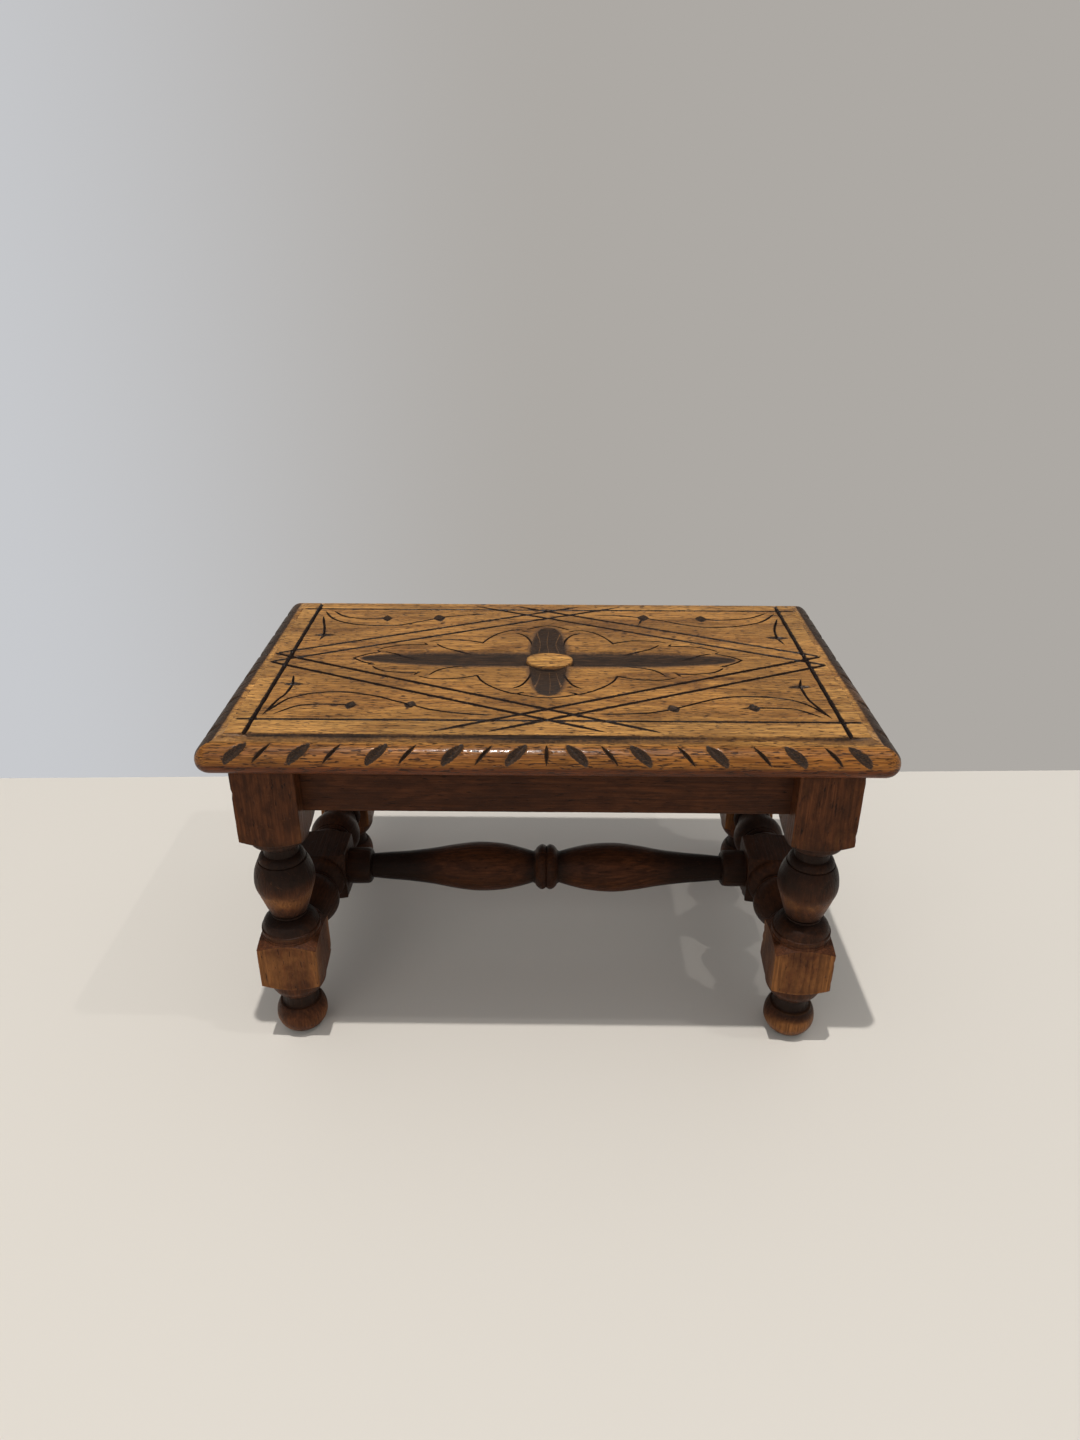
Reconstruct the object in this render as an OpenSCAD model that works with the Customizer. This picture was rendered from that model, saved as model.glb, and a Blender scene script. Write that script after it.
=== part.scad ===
// Carved oak footstool on four turned legs, joined by rails and an H of turned stretchers.
// Millimetres, +Z up. The origin is on the floor, under the middle of the top.

/* [Overall] */
// Length of the top board, along X
top_length = 351.4; // [330:0.2:400]
// Depth of the top board, along Y
top_depth = 217; // [200:1:240]
// Height from the floor to the top face
stool_height = 200; // [192:1:230]
// Thickness of the top board
top_thickness = 18; // [16:0.5:24]
// How far each end of the top stands out over the legs
end_overhang = 14.9; // [8:0.1:22]
// How far each long side of the top stands out over the legs
side_overhang = 8.1; // [4:0.1:14]

/* [Moulded edge] */
// Width of the moulding, from the flat field to the outermost line
moulding_width = 14.2; // [13:0.1:18]
// Drop from the field to the quirk round it
quirk_drop = 2.4; // [1.6:0.1:3]
// Width of the quirk
quirk_width = 5.2; // [4:0.1:6]
// Radius of the lower half of the nose
nose_lower_radius = 6.3; // [4:0.1:6.5]
// Radius of the board's corners, on its widest line
corner_round = 8; // [5:0.5:9]

/* [Gouges in the edge] */
// Width of a broad gouge
broad_width = 6.4; // [4:0.1:8]
// Depth of a broad gouge
broad_depth = 2.3; // [1:0.1:2.8]
// Width of a slit between the gouges, cut with a V tool
slit_width = 2.4; // [1.6:0.1:3]
// Depth of a slit
slit_depth = 1.9; // [0.6:0.1:2.4]
// Lean of gouges and slits, in degrees from upright
gouge_lean = 39; // [20:1:50]
// Places of the gouges of a long edge, as shares of the way from its middle to the field's corner
gouge_shares = [0.093, 0.285, 0.517, 0.755, 0.955]; // [0.03:0.001:0.98]
// Places of the slits of a long edge, as such shares
slit_shares = [0.19, 0.423, 0.653, 0.867]; // [0.03:0.001:0.98]
// Places of the gouges of a short edge, as such shares
side_gouge_shares = [0.18, 0.55, 0.91]; // [0.03:0.001:0.98]
// Places of the slits of a short edge, as such shares
side_slit_shares = [0.36, 0.737]; // [0.03:0.001:0.98]

/* [Carved field] */
// Shift of the carving behind the middle of the board
carving_shift = 1.9; // [0:0.1:4]
// Distance of each heavy cross groove from the end of the field
cross_groove_inset = 10; // [6:0.1:20]
// Width of a heavy cross groove
cross_groove_width = 2.8; // [2:0.1:4]
// Depth of a heavy cross groove
cross_groove_depth = 1.6; // [1:0.1:2.2]
// Distance of the border lines from the long sides of the field
border_inset = 13.1; // [10:0.1:20]
// Width of an incised line
line_width = 1.8; // [1.2:0.1:2.4]
// Depth of an incised line
line_depth = 1.1; // [0.6:0.1:1.6]
// Distance of the outer lozenge's side corners from the border lines
outer_lozenge_gap = 1.9; // [1:0.1:8]
// Distance of the inner lozenge's side corners from the border lines
inner_lozenge_gap = 14.4; // [10:0.1:24]
// Distance of the inner lozenge's ends from the ends of the field
lozenge_end_gap = 14; // [8:0.5:30]
// Length of the long hollow, as a share of the field's length
long_hollow_share = 0.67; // [0.55:0.01:0.72]
// Length of the cross hollow, as a share of the field's depth
cross_hollow_share = 0.54; // [0.45:0.01:0.6]
// Half width of the hollows at the middle
hollow_half_width = 9.8; // [7:0.1:11]
// Depth of the hollows
hollow_depth = 3; // [1.5:0.1:4]
// Length of the boss left standing in the middle
boss_length = 27; // [24:0.5:32]
// Width of the boss
boss_width = 20; // [16:0.5:22]

/* [Legs] */
// Side of the square stock of legs and side stretchers
stock = 33.4; // [31:0.2:36]
// Height of the corners of the upper square, where the turning ends
upper_square_z = 138.5; // [136:0.5:142]
// Height of the lower corners of the lower square
lower_square_z = 41.5; // [39:0.5:43]
// Height of the upper corners of the lower square
lower_square_top = 66; // [64:0.5:67]
// Height of the shoulder that the lathe cuts at each end of a square
shoulder_rise = 3.2; // [2:0.1:4]
// Distance that the widest lines of the turning stay inside the flat faces
turning_inset = 0.1; // [0.1:0.1:1.5]
// Radius of the neck above the vase
neck_radius = 9.5; // [8:0.1:10.5]

/* [Turned foot] */
// Largest radius of the foot ball
ball_radius = 14.7; // [13:0.1:16]
// Radius of the curve below the ball's widest line
ball_half_height = 11; // [9.5:0.1:12]
// Radius of the curve above the ball's widest line
ball_crown_radius = 17; // [14:0.5:24]
// Depth cut off the ball to make the face that it stands on
ball_flat = 0.5; // [0.2:0.1:1]
// Height of the ball's upper edge
ball_top_z = 19.5; // [17:0.1:21]
// Radius of the neck between the ball and the lower square
foot_neck_radius = 10.4; // [9:0.1:11]
// Height of the foot of the cushion under the lower square
cushion_z = 28; // [26:0.5:30]
// Radius of the curve of that cushion
cushion_radius = 12; // [11:0.5:14]

/* [Turned vase] */
// Radius of the quarter round above the lower square
quarter_radius = 6.8; // [6:0.1:8]
// Radius of the waist under the vase
waist_radius = 9; // [8:0.1:10.5]
// Height of the foot of the vase
vase_foot_z = 84; // [83.5:0.1:86]
// Height of the widest line of the vase
vase_z = 105; // [102:0.5:107]
// Radius of the curve between the vase's widest line and its upper edge
vase_crown_radius = 26.5; // [22:0.5:32]
// Height of the vase's upper edge
vase_top_z = 118; // [116:0.5:119]
// Radius of the collar that stands on the vase
vase_collar_radius = 12.8; // [11.5:0.1:13]
// Height of that collar
vase_collar_height = 4.6; // [3:0.1:6]
// Radius of the ring under the upper square
upper_ring_radius = 11.4; // [10.6:0.1:12.5]
// Radius of the curve of the cushion under the upper square
upper_cushion_radius = 5.4; // [4.5:0.1:6]

/* [Rails] */
// Thickness of the rails
rail_thickness = 13; // [11:0.5:16]
// Height of the rails
rail_height = 30.5; // [24:0.5:36]
// Thickness of the rail tenons
tenon_thickness = 6; // [5:0.5:8]
// Length of the rail tenons
tenon_length = 12; // [8:0.5:12.5]
// Shoulder above and below the rail tenons
tenon_shoulder = 5; // [3:0.5:7]

/* [Stretchers] */
// Height of the stretchers' axes
stretcher_z = 54.5; // [53:0.5:56]
// Half length of the square in the middle of a side stretcher
middle_square = 12.5; // [12:0.5:15]
// Distance from the middle to the widest line of a side stretcher's vase
side_vase_y = 36; // [33:0.5:38]
// Largest radius of the centre stretcher
centre_radius = 15.8; // [12:0.1:16.2]
// Distance from the middle to the widest line of the centre stretcher
centre_swell_x = 43.5; // [38:0.5:50]
// Least radius of the centre stretcher, beside its collars
centre_neck_radius = 7.9; // [6:0.1:9]
// Radius of the centre stretcher beside its bead
centre_waist_radius = 10; // [8:0.1:12]
// Radius of the bead in the middle of the centre stretcher
bead_radius = 14.7; // [12:0.1:16]
// Radius of the collars of the centre stretcher
collar_radius = 11.6; // [10:0.1:13]
// Length of the collars of the centre stretcher
collar_length = 15.5; // [10:0.5:20]
// Radius of the round tenons
round_tenon_radius = 5.5; // [4:0.1:6.5]
// Length of the round tenons
round_tenon_length = 14; // [8:0.5:15]

/* [Hidden fixings] */
// Length of a glue block, along the rail
block_length = 46; // [30:1:60]
// Width and height of a glue block
block_side = 18; // [16:0.5:20]
// Distance from the middle of a rail to the middle of each glue block
block_x = 72; // [50:1:90]
// Diameter of the wood screws
screw_diameter = 4; // [3:0.1:5]
// Diameter of the screw heads
screw_head_diameter = 8; // [6:0.1:9]
// Length of the wood screws
screw_length = 28; // [24:0.5:30]
// Clearance round tenons and screws
fit_gap = 0.1; // [0.05:0.01:0.2]

/* [Hidden] */

oak = "#b8803f";
walnut_stain = "#4a2a1b";
plain_wood = "#a98355";
steel = "#8c8c88";

$fn = 96;
eps = 0.01;

half_stock = stock / 2;
turning_limit = stock;
corner_radius = half_stock * sqrt(2);
shoulder_radius = half_stock - 0.3;
shoulder_run = shoulder_rise * (turning_limit - corner_radius) / (corner_radius - shoulder_radius);
vase_radius = half_stock - turning_inset;
leg_height = stool_height - top_thickness;
leg_span_x = top_length - 2 * end_overhang;
leg_span_y = top_depth - 2 * side_overhang;
leg_x = leg_span_x / 2 - half_stock;
leg_y = leg_span_y / 2 - half_stock;
inner_x = leg_span_x / 2 - stock;
inner_y = leg_span_y / 2 - stock;

field_x = top_length / 2 - moulding_width;
field_y = top_depth / 2 - moulding_width;
nose_upper_radius = moulding_width - quirk_width;
nose_z = top_thickness - quirk_drop - nose_upper_radius;
under_radius = min(nose_lower_radius, nose_z - 0.1);
cross_groove_x = field_x - cross_groove_inset;
border_y = field_y - border_inset;
lozenge_outer_y = border_y - outer_lozenge_gap;
lozenge_inner_y = border_y - inner_lozenge_gap;
lozenge_slope = lozenge_inner_y / (field_x - lozenge_end_gap);
line_end_x = field_x - 1.5;

rail_setback = (stock - rail_thickness) / 2;
rail_inner_y = leg_span_y / 2 - rail_setback - rail_thickness;
rail_inner_x = leg_span_x / 2 - rail_setback - rail_thickness;
rail_bottom = leg_height - rail_height;

// The solid inside a swept profile, kept in the half plane of the lathe
module lathe() {
    rotate_extrude()
        intersection() {
            children();
            square([2 * turning_limit, stool_height * 2]);
        }
}

// A round turned edge: a circle of radius r whose outermost point is at radius edge and height z
module round_edge(edge, r, z) {
    translate([edge - r, z])
        circle(r);
}

// A rectangle of the lathe's half plane between two heights
module drum(radius, z0, z1) {
    translate([0, z0])
        square([radius, z1 - z0]);
}

// The part of a turned form that lies between two heights
module between(z0, z1) {
    intersection() {
        children();
        drum(turning_limit, z0, z1);
    }
}

// Top board

// Section of the moulding, from the field's edge outwards
module moulding_section() {
    square([quirk_width, top_thickness - quirk_drop]);
    translate([quirk_width, nose_z])
        intersection() {
            circle(nose_upper_radius);
            square(nose_upper_radius * 2);
        }
    square([moulding_width - under_radius, nose_z]);
    translate([0, under_radius])
        square([moulding_width, nose_z - under_radius]);
    translate([moulding_width - under_radius, under_radius])
        intersection() {
            circle(under_radius);
            translate([0, -2 * under_radius])
                square(under_radius * 2);
        }
}

module moulding_run(length) {
    rotate([90, 0, 90])
        translate([0, 0, -length / 2])
            linear_extrude(length)
                moulding_section();
}

// A bar along X with the moulding on both long sides
module moulded_bar(length, half_width) {
    translate([-length / 2, -half_width, 0])
        cube([length, 2 * half_width, top_thickness]);
    for (turn = [0, 180])
        rotate([0, 0, turn])
            translate([0, half_width, 0])
                moulding_run(length);
}

// Puts a piece made for the corner at +X and +Y at all four corners
module at_slab_corners() {
    for (sx = [0, 1], sy = [0, 1])
        mirror([sx, 0, 0])
            mirror([0, sy, 0])
                translate([top_length / 2 - corner_round, top_depth / 2 - corner_round, 0])
                    children();
}

// The outer part of the moulding, turned about the corner's centre
module rounded_corner() {
    intersection() {
        rotate_extrude()
            intersection() {
                translate([corner_round - moulding_width, 0])
                    moulding_section();
                square([corner_round + 1, top_thickness + 1]);
            }
        cube([corner_round + 1, corner_round + 1, top_thickness + 1]);
    }
}

// Two crossed bars share what a mitred moulding leaves; the tips of the mitres are rounded
module moulded_slab() {
    difference() {
        intersection() {
            moulded_bar(top_length + 4, field_y);
            rotate([0, 0, 90])
                moulded_bar(top_depth + 4, field_x);
        }
        at_slab_corners()
            translate([0, 0, -1])
                cube([corner_round + 3, corner_round + 3, top_thickness + 2]);
    }
    at_slab_corners()
        rounded_corner();
}

// Carries a tool's cut, lying along Y at height 0, across the nose of the edge that faces +Y
module across_nose(lean) {
    translate([0, quirk_width, nose_z])
        rotate([-45, 0, 0])
            translate([0, 0, nose_upper_radius])
                rotate([0, 0, lean])
                    children();
}

// One round gouge cut
module gouge(lean) {
    tool_radius = (broad_width * broad_width / 4 + broad_depth * broad_depth) / (2 * broad_depth);
    across_nose(lean)
        translate([0, 0, tool_radius - broad_depth])
            rotate([90, 0, 0])
                cylinder(r = tool_radius, h = 3 * moulding_width, center = true);
}

// One V-shaped slit
module slit(lean) {
    across_nose(lean)
        rotate([90, 0, 0])
            linear_extrude(3 * moulding_width, center = true)
                polygon([[-slit_width, slit_depth], [0, -slit_depth], [slit_width, slit_depth]]);
}

// The cuts of one edge, leaning towards its middle on both sides
module edge_cuts(half_length, gouges, slits) {
    for (side = [-1, 1]) {
        for (share = gouges)
            translate([side * share * half_length, 0, 0])
                gouge(-side * gouge_lean);
        for (share = slits)
            translate([side * share * half_length, 0, 0])
                slit(-side * gouge_lean);
    }
    slit(0);
}

// A V-shaped groove in the top face, between two points
module groove(a, b, width, depth) {
    run = b - a;
    translate([a[0], a[1], top_thickness])
        rotate([0, 0, atan2(run[1], run[0])])
            rotate([90, 0, 90])
                linear_extrude(norm(run))
                    polygon([[-width, depth], [width, depth], [0, -depth]]);
}

// A hollow that tapers to a point at both ends, scooped along X
module hollow(reach) {
    scoop_radius = (pow(hollow_half_width, 2) + pow(hollow_depth, 2)) / (2 * hollow_depth);
    rise = scoop_radius - hollow_depth;
    sweep_radius = (pow(reach, 2) + pow(hollow_depth, 2)) / (2 * hollow_depth);
    translate([0, 0, top_thickness + rise])
        rotate([0, 90, 0])
            rotate_extrude()
                intersection() {
                    translate([scoop_radius - sweep_radius, 0])
                        circle(sweep_radius, $fn = 720);
                    translate([0, -reach])
                        square([scoop_radius + 1, 2 * reach]);
                }
}

// The boss is as wide as its round ends
module boss() {
    for (side = [-1, 1])
        translate([side * (boss_length - boss_width) / 2, 0, 0])
            cylinder(d = boss_width, h = top_thickness);
    translate([-(boss_length - boss_width) / 2, -boss_width / 2, 0])
        cube([boss_length - boss_width, boss_width, top_thickness]);
}

module field_carving() {
    for (side = [-1, 1]) {
        groove([side * cross_groove_x, -field_y - 1], [side * cross_groove_x, field_y + 1],
            cross_groove_width, cross_groove_depth);
        translate([0, carving_shift, 0])
            groove([-line_end_x, side * border_y], [line_end_x, side * border_y], line_width, line_depth);
    }
    translate([0, carving_shift, 0]) {
        for (sx = [-1, 1], sy = [-1, 1], start = [lozenge_inner_y, lozenge_outer_y]) {
            far_x = (border_y + 4 - start) / lozenge_slope;
            groove([-sx * line_end_x, sy * (start - lozenge_slope * line_end_x)],
                [sx * far_x, sy * (border_y + 4)], line_width, line_depth);
        }
        difference() {
            union() {
                hollow(long_hollow_share * field_x);
                rotate([0, 0, 90])
                    hollow(cross_hollow_share * field_y);
            }
            boss();
        }
    }
}

module top_board() {
    color(oak)
        translate([0, 0, leg_height])
            difference() {
                moulded_slab();
                for (turn = [0, 180])
                    rotate([0, 0, turn]) {
                        translate([0, field_y, 0])
                            edge_cuts(field_x, gouge_shares, slit_shares);
                        rotate([0, 0, 90])
                            translate([0, field_x, 0])
                                edge_cuts(field_y, side_gouge_shares, side_slit_shares);
                    }
                field_carving();
                translate([0, 0, -leg_height])
                    at_screws()
                        screw_hole();
            }
}

// Legs

// The shoulder that a lathe leaves where a square starts: its corners start at height z
module square_start(z) {
    top = z + shoulder_run;
    polygon([[0, z - shoulder_rise], [shoulder_radius, z - shoulder_rise], [turning_limit, top],
        [turning_limit, top + 1], [0, top + 1]]);
}

// The same shoulder upside down, where the corners of a square end at height z
module square_end(z) {
    bottom = z - shoulder_run;
    polygon([[0, z + shoulder_rise], [0, bottom - 1], [turning_limit, bottom - 1], [turning_limit, bottom],
        [shoulder_radius, z + shoulder_rise]]);
}

module square_run(z0, z1) {
    square_start(z0);
    drum(turning_limit, z0 + 4, z1 - 4);
    square_end(z1);
}

module foot_profile() {
    ball_z = ball_half_height - ball_flat;
    between(0, ball_z)
        union() {
            round_edge(ball_radius, ball_half_height, ball_z);
            drum(ball_radius - ball_half_height, 0, ball_z);
        }
    between(ball_z, ball_top_z)
        round_edge(ball_radius, ball_crown_radius, ball_z);
    drum(foot_neck_radius, ball_z, lower_square_z + 5);
    between(cushion_z, lower_square_z - shoulder_rise + 0.2)
        round_edge(shoulder_radius, cushion_radius, lower_square_z - 4);
}

// The double lip above the lower square and the quarter round down to the waist
module lip_profile() {
    lip_z = lower_square_top + 4.8;
    ring_z = lip_z + 0.8;
    quarter_z = ring_z + 2.6;
    drum(shoulder_radius, lower_square_top + 2, lip_z);
    drum(shoulder_radius - 0.5, lip_z - 1, quarter_z);
    drum(shoulder_radius, ring_z, quarter_z);
    between(quarter_z, quarter_z + quarter_radius)
        round_edge(shoulder_radius - 0.8, quarter_radius, quarter_z);
    drum(waist_radius, quarter_z - 1, vase_foot_z + 1);
    drum(waist_radius + 1, vase_foot_z - 2.1, vase_foot_z - 0.9);
}

module vase_profile() {
    flare_drop = 7;
    flare_z = vase_z - flare_drop;
    flare_radius = sqrt(vase_radius * vase_radius - flare_drop * flare_drop);
    polygon([[0, vase_foot_z], [waist_radius + 1.4, vase_foot_z], [flare_radius, flare_z], [0, flare_z]]);
    between(flare_z, vase_z)
        round_edge(vase_radius, vase_radius, vase_z);
    between(vase_z, vase_top_z)
        round_edge(vase_radius, vase_crown_radius, vase_z);
    between(vase_top_z, vase_top_z + vase_collar_height)
        round_edge(vase_collar_radius, vase_collar_height, vase_top_z + 0.3);
}

// Neck, ring and cushion under the upper square
module neck_profile() {
    ring_z = upper_square_z - 9.9;
    drum(neck_radius, vase_top_z - 1, upper_square_z + 5);
    drum(upper_ring_radius, ring_z, ring_z + 1.7);
    between(ring_z + 1.7, upper_square_z - shoulder_rise + 0.2)
        union() {
            round_edge(shoulder_radius, upper_cushion_radius, upper_square_z - 3.6);
            drum(shoulder_radius - upper_cushion_radius, ring_z, upper_square_z);
        }
}

module leg_profile() {
    foot_profile();
    square_run(lower_square_z, lower_square_top);
    lip_profile();
    vase_profile();
    neck_profile();
    square_start(upper_square_z);
    drum(turning_limit, upper_square_z + 4, leg_height);
}

// Slots for the tenons of the two rails that meet in a leg, and the hole for a side stretcher
module leg_mortises() {
    slot = tenon_thickness + 2 * fit_gap;
    slot_bottom = rail_bottom + tenon_shoulder - fit_gap;
    slot_height = rail_height - 2 * tenon_shoulder + 2 * fit_gap;
    depth = tenon_length + fit_gap;
    translate([half_stock - depth, -slot / 2, slot_bottom])
        cube([depth + 1, slot, slot_height]);
    translate([-slot / 2, half_stock - depth, slot_bottom])
        cube([slot, depth + 1, slot_height]);
    translate([0, half_stock - round_tenon_length - fit_gap, stretcher_z])
        rotate([-90, 0, 0])
            cylinder(r = round_tenon_radius + fit_gap, h = round_tenon_length + 1);
}

// A leg stands with its inner faces towards +X and +Y
module leg() {
    color(walnut_stain)
        difference() {
            intersection() {
                lathe()
                    leg_profile();
                translate([-half_stock, -half_stock, 0])
                    cube([stock, stock, leg_height]);
            }
            leg_mortises();
        }
}

// Puts a piece of the back left quarter, with +X and +Y as its inner sides, at a corner
module at_corner(sx, sy) {
    mirror([sx > 0 ? 1 : 0, 0, 0])
        mirror([0, sy > 0 ? 1 : 0, 0])
            translate([-leg_x, -leg_y, 0])
                children();
}

// Rails

// A rail along X, in the middle of its own thickness, with a tenon at each end
module rail(length) {
    translate([-length / 2, -rail_thickness / 2, rail_bottom])
        cube([length, rail_thickness, rail_height]);
    translate([-length / 2 - tenon_length, -tenon_thickness / 2, rail_bottom + tenon_shoulder])
        cube([length + 2 * tenon_length, tenon_thickness, rail_height - 2 * tenon_shoulder]);
}

module long_rail(side) {
    color(walnut_stain)
        translate([0, side * leg_y, 0])
            rail(2 * inner_x);
}

module short_rail(side) {
    color(walnut_stain)
        translate([side * leg_x, 0, 0])
            rotate([0, 0, 90])
                rail(2 * inner_y);
}

// Stretchers

// Half of a side stretcher as a lathe profile, its height being the distance from the middle
module side_stretcher_profile() {
    end = inner_y;
    taper_start = side_vase_y + 4.5;
    taper_radius = vase_radius - 0.9;
    drum(turning_limit, 0, middle_square - 4);
    square_end(middle_square);
    between(middle_square, middle_square + 10)
        round_edge(shoulder_radius - 0.3, 6.4, middle_square + 3.2);
    drum(neck_radius, middle_square, end);
    between(side_vase_y - 11, side_vase_y - 7.6)
        round_edge(13.2, 5, side_vase_y - 7.6);
    between(side_vase_y - 7.6, taper_start)
        union() {
            round_edge(vase_radius, 12, side_vase_y);
            drum(vase_radius - 11, side_vase_y - 7.6, taper_start);
        }
    polygon([[0, taper_start], [taper_radius, taper_start], [neck_radius + 0.6, end - 10], [0, end - 10]]);
    between(end - 8.4, end)
        round_edge(12.6, 3.6, end - 4.2);
    drum(round_tenon_radius, end - 1, end + round_tenon_length);
}

module side_stretcher(side) {
    socket = round_tenon_length - 2 + fit_gap;
    color(walnut_stain)
        translate([side * leg_x, 0, stretcher_z])
            difference() {
                for (turn = [-90, 90])
                    rotate([turn, 0, 0])
                        intersection() {
                            lathe()
                                side_stretcher_profile();
                            translate([-half_stock, -half_stock, 0])
                                cube([stock, stock, leg_span_y]);
                        }
                rotate([0, -90 * side, 0])
                    translate([0, 0, half_stock - socket])
                        cylinder(r = round_tenon_radius + fit_gap, h = socket + 1);
            }
}

// Radius of the centre stretcher's swelling: a sharpened cosine from the neck or waist to the widest line
function swell(x, low, x_low) =
    let (turn = 180 * (x - centre_swell_x) / (x_low - centre_swell_x))
    low + (centre_radius - low) * pow((1 + cos(turn)) / 2, 1.2);

// Half of the centre stretcher as a lathe profile, its height being the distance from the middle
module centre_stretcher_profile() {
    steps = 14;
    bead_half = 8;
    neck_x = inner_x - collar_length;
    outer_points = [for (i = [0 : steps])
        let (x = centre_swell_x + (neck_x - centre_swell_x) * i / steps)
        [swell(x, centre_neck_radius, neck_x), x]];
    inner_points = [for (i = [steps : -1 : 1])
        let (x = centre_swell_x - (centre_swell_x - bead_half) * i / steps)
        [swell(x, centre_waist_radius, -6), x]];
    polygon(concat([[0, bead_half]], inner_points, outer_points, [[0, neck_x]]));
    difference() {
        between(0, bead_half + 1)
            union() {
                round_edge(bead_radius, 8.6, 0);
                drum(centre_waist_radius, 0, bead_half + 1);
            }
        polygon([[bead_radius - 1.6, 0], [bead_radius + 1, 0.9], [bead_radius + 1, -0.9]]);
    }
    drum(collar_radius, neck_x + 2.2, inner_x);
    between(neck_x, neck_x + 2.2)
        round_edge(collar_radius, 2.2, neck_x + 2.2);
    drum(collar_radius - 2.2, neck_x, neck_x + 2.2);
    drum(round_tenon_radius, inner_x - 1, inner_x + round_tenon_length - 2);
}

module centre_stretcher() {
    color(walnut_stain)
        translate([0, 0, stretcher_z])
            for (turn = [-90, 90])
                rotate([0, turn, 0])
                    lathe()
                        centre_stretcher_profile();
}

// Hidden fixings

// A countersunk wood screw, driven upwards, with its head's face at height 0
module screw() {
    head_height = (screw_head_diameter - screw_diameter) / 2;
    cylinder(d1 = screw_head_diameter, d2 = screw_diameter, h = head_height);
    cylinder(d = screw_diameter, h = screw_length - 5);
    translate([0, 0, screw_length - 5])
        cylinder(d1 = screw_diameter, d2 = 1, h = 5);
}

module screw_hole() {
    head_height = (screw_head_diameter - screw_diameter) / 2;
    translate([0, 0, -1])
        cylinder(d = screw_head_diameter, h = 1);
    cylinder(d1 = screw_head_diameter, d2 = screw_diameter, h = head_height);
    cylinder(d = screw_diameter + 2 * fit_gap, h = screw_length + 0.5);
}

// One glue block, in the angle between a long rail and the top
module glue_block(sx, sy) {
    color(plain_wood)
        difference() {
            translate([sx * block_x - block_length / 2, sy > 0 ? rail_inner_y - block_side : -rail_inner_y,
                leg_height - block_side])
                cube([block_length, block_side, block_side]);
            at_screw(sx, sy)
                screw_hole();
        }
}

module at_screw(sx, sy) {
    translate([sx * block_x, sy * (rail_inner_y - block_side / 2), leg_height - block_side])
        children();
}

module at_screws() {
    for (sx = [-1, 1], sy = [-1, 1])
        at_screw(sx, sy)
            children();
}

module top_screws() {
    color(steel)
        at_screws()
            screw();
}

top_board();
at_corner(-1, -1) leg();  // leg_front_left
at_corner(1, -1) leg();  // leg_front_right
at_corner(-1, 1) leg();  // leg_back_left
at_corner(1, 1) leg();  // leg_back_right
long_rail(-1);  // rail_front
long_rail(1);  // rail_back
short_rail(-1);  // rail_left
short_rail(1);  // rail_right
side_stretcher(-1);  // stretcher_left
side_stretcher(1);  // stretcher_right
centre_stretcher();  // stretcher_centre
glue_block(-1, -1);  // glue_block_front_left
glue_block(1, -1);  // glue_block_front_right
glue_block(-1, 1);  // glue_block_back_left
glue_block(1, 1);  // glue_block_back_right
top_screws();
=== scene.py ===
# Carved oak footstool on turned legs. Sizes in the dictionaries are millimetres; meshes are in metres.
import math
import bpy
import numpy as np
from mathutils import Matrix, Vector
from mathutils.geometry import delaunay_2d_cdt


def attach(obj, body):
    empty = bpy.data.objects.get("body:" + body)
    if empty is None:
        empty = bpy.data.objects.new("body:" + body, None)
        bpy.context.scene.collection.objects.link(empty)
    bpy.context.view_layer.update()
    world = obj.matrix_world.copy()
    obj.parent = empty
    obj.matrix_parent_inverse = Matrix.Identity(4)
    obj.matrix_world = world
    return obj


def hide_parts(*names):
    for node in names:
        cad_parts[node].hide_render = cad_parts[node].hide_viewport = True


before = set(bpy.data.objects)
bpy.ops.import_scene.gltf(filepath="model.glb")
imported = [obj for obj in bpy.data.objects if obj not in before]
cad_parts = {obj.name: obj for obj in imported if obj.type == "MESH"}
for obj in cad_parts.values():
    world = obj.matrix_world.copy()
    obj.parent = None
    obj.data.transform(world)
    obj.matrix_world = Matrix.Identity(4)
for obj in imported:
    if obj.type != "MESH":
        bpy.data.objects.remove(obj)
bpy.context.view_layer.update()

mm = 0.001

stoolSizes = {
    "height": 200.0,  # floor to the face of the top
    "thickness": 18.0,  # of the top board
    "fieldX": 161.5,  # half length of the flat carved field
    "fieldY": 94.3,  # half depth of the field
    "moulding": 14.2,  # width of the moulding round it
    "corner": 8.0,  # radius of the board's corners, on its widest line
    "square": 16.7,  # half the side of the legs' square stock
    "legX": 144.1,  # distance of the legs' axes from the middle
    "legY": 83.7,
    "stretcherZ": 54.5,  # height of the stretchers' axes
}


def smoothStep(x, low, high):
    # 0 below low, 1 above high, and 3t^2 - 2t^3 between them
    t = np.clip((np.asarray(x, float) - low) / (high - low), 0, 1)
    return t * t * (3 - 2 * t)


def softNoise(points, scale, seed, octaves=3, waves=5):
    # sum of sines along seeded random directions, each octave twice as fine and half as strong: about -1 to 1
    draw = np.random.default_rng(seed)
    total = np.zeros(len(points))
    for octave in range(octaves):
        for _ in range(waves):
            direction = draw.normal(size=points.shape[1])
            direction *= 2 ** octave * scale / np.linalg.norm(direction)
            total += np.sin(points @ direction + draw.uniform(0, 2 * math.pi)) / (2 ** octave * 3)
    return total


def lengthAlong(path):
    # distance from the start of a path to each of its points
    return np.concatenate([[0], np.cumsum(np.linalg.norm(np.diff(path, axis=0), axis=1))])


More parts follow.
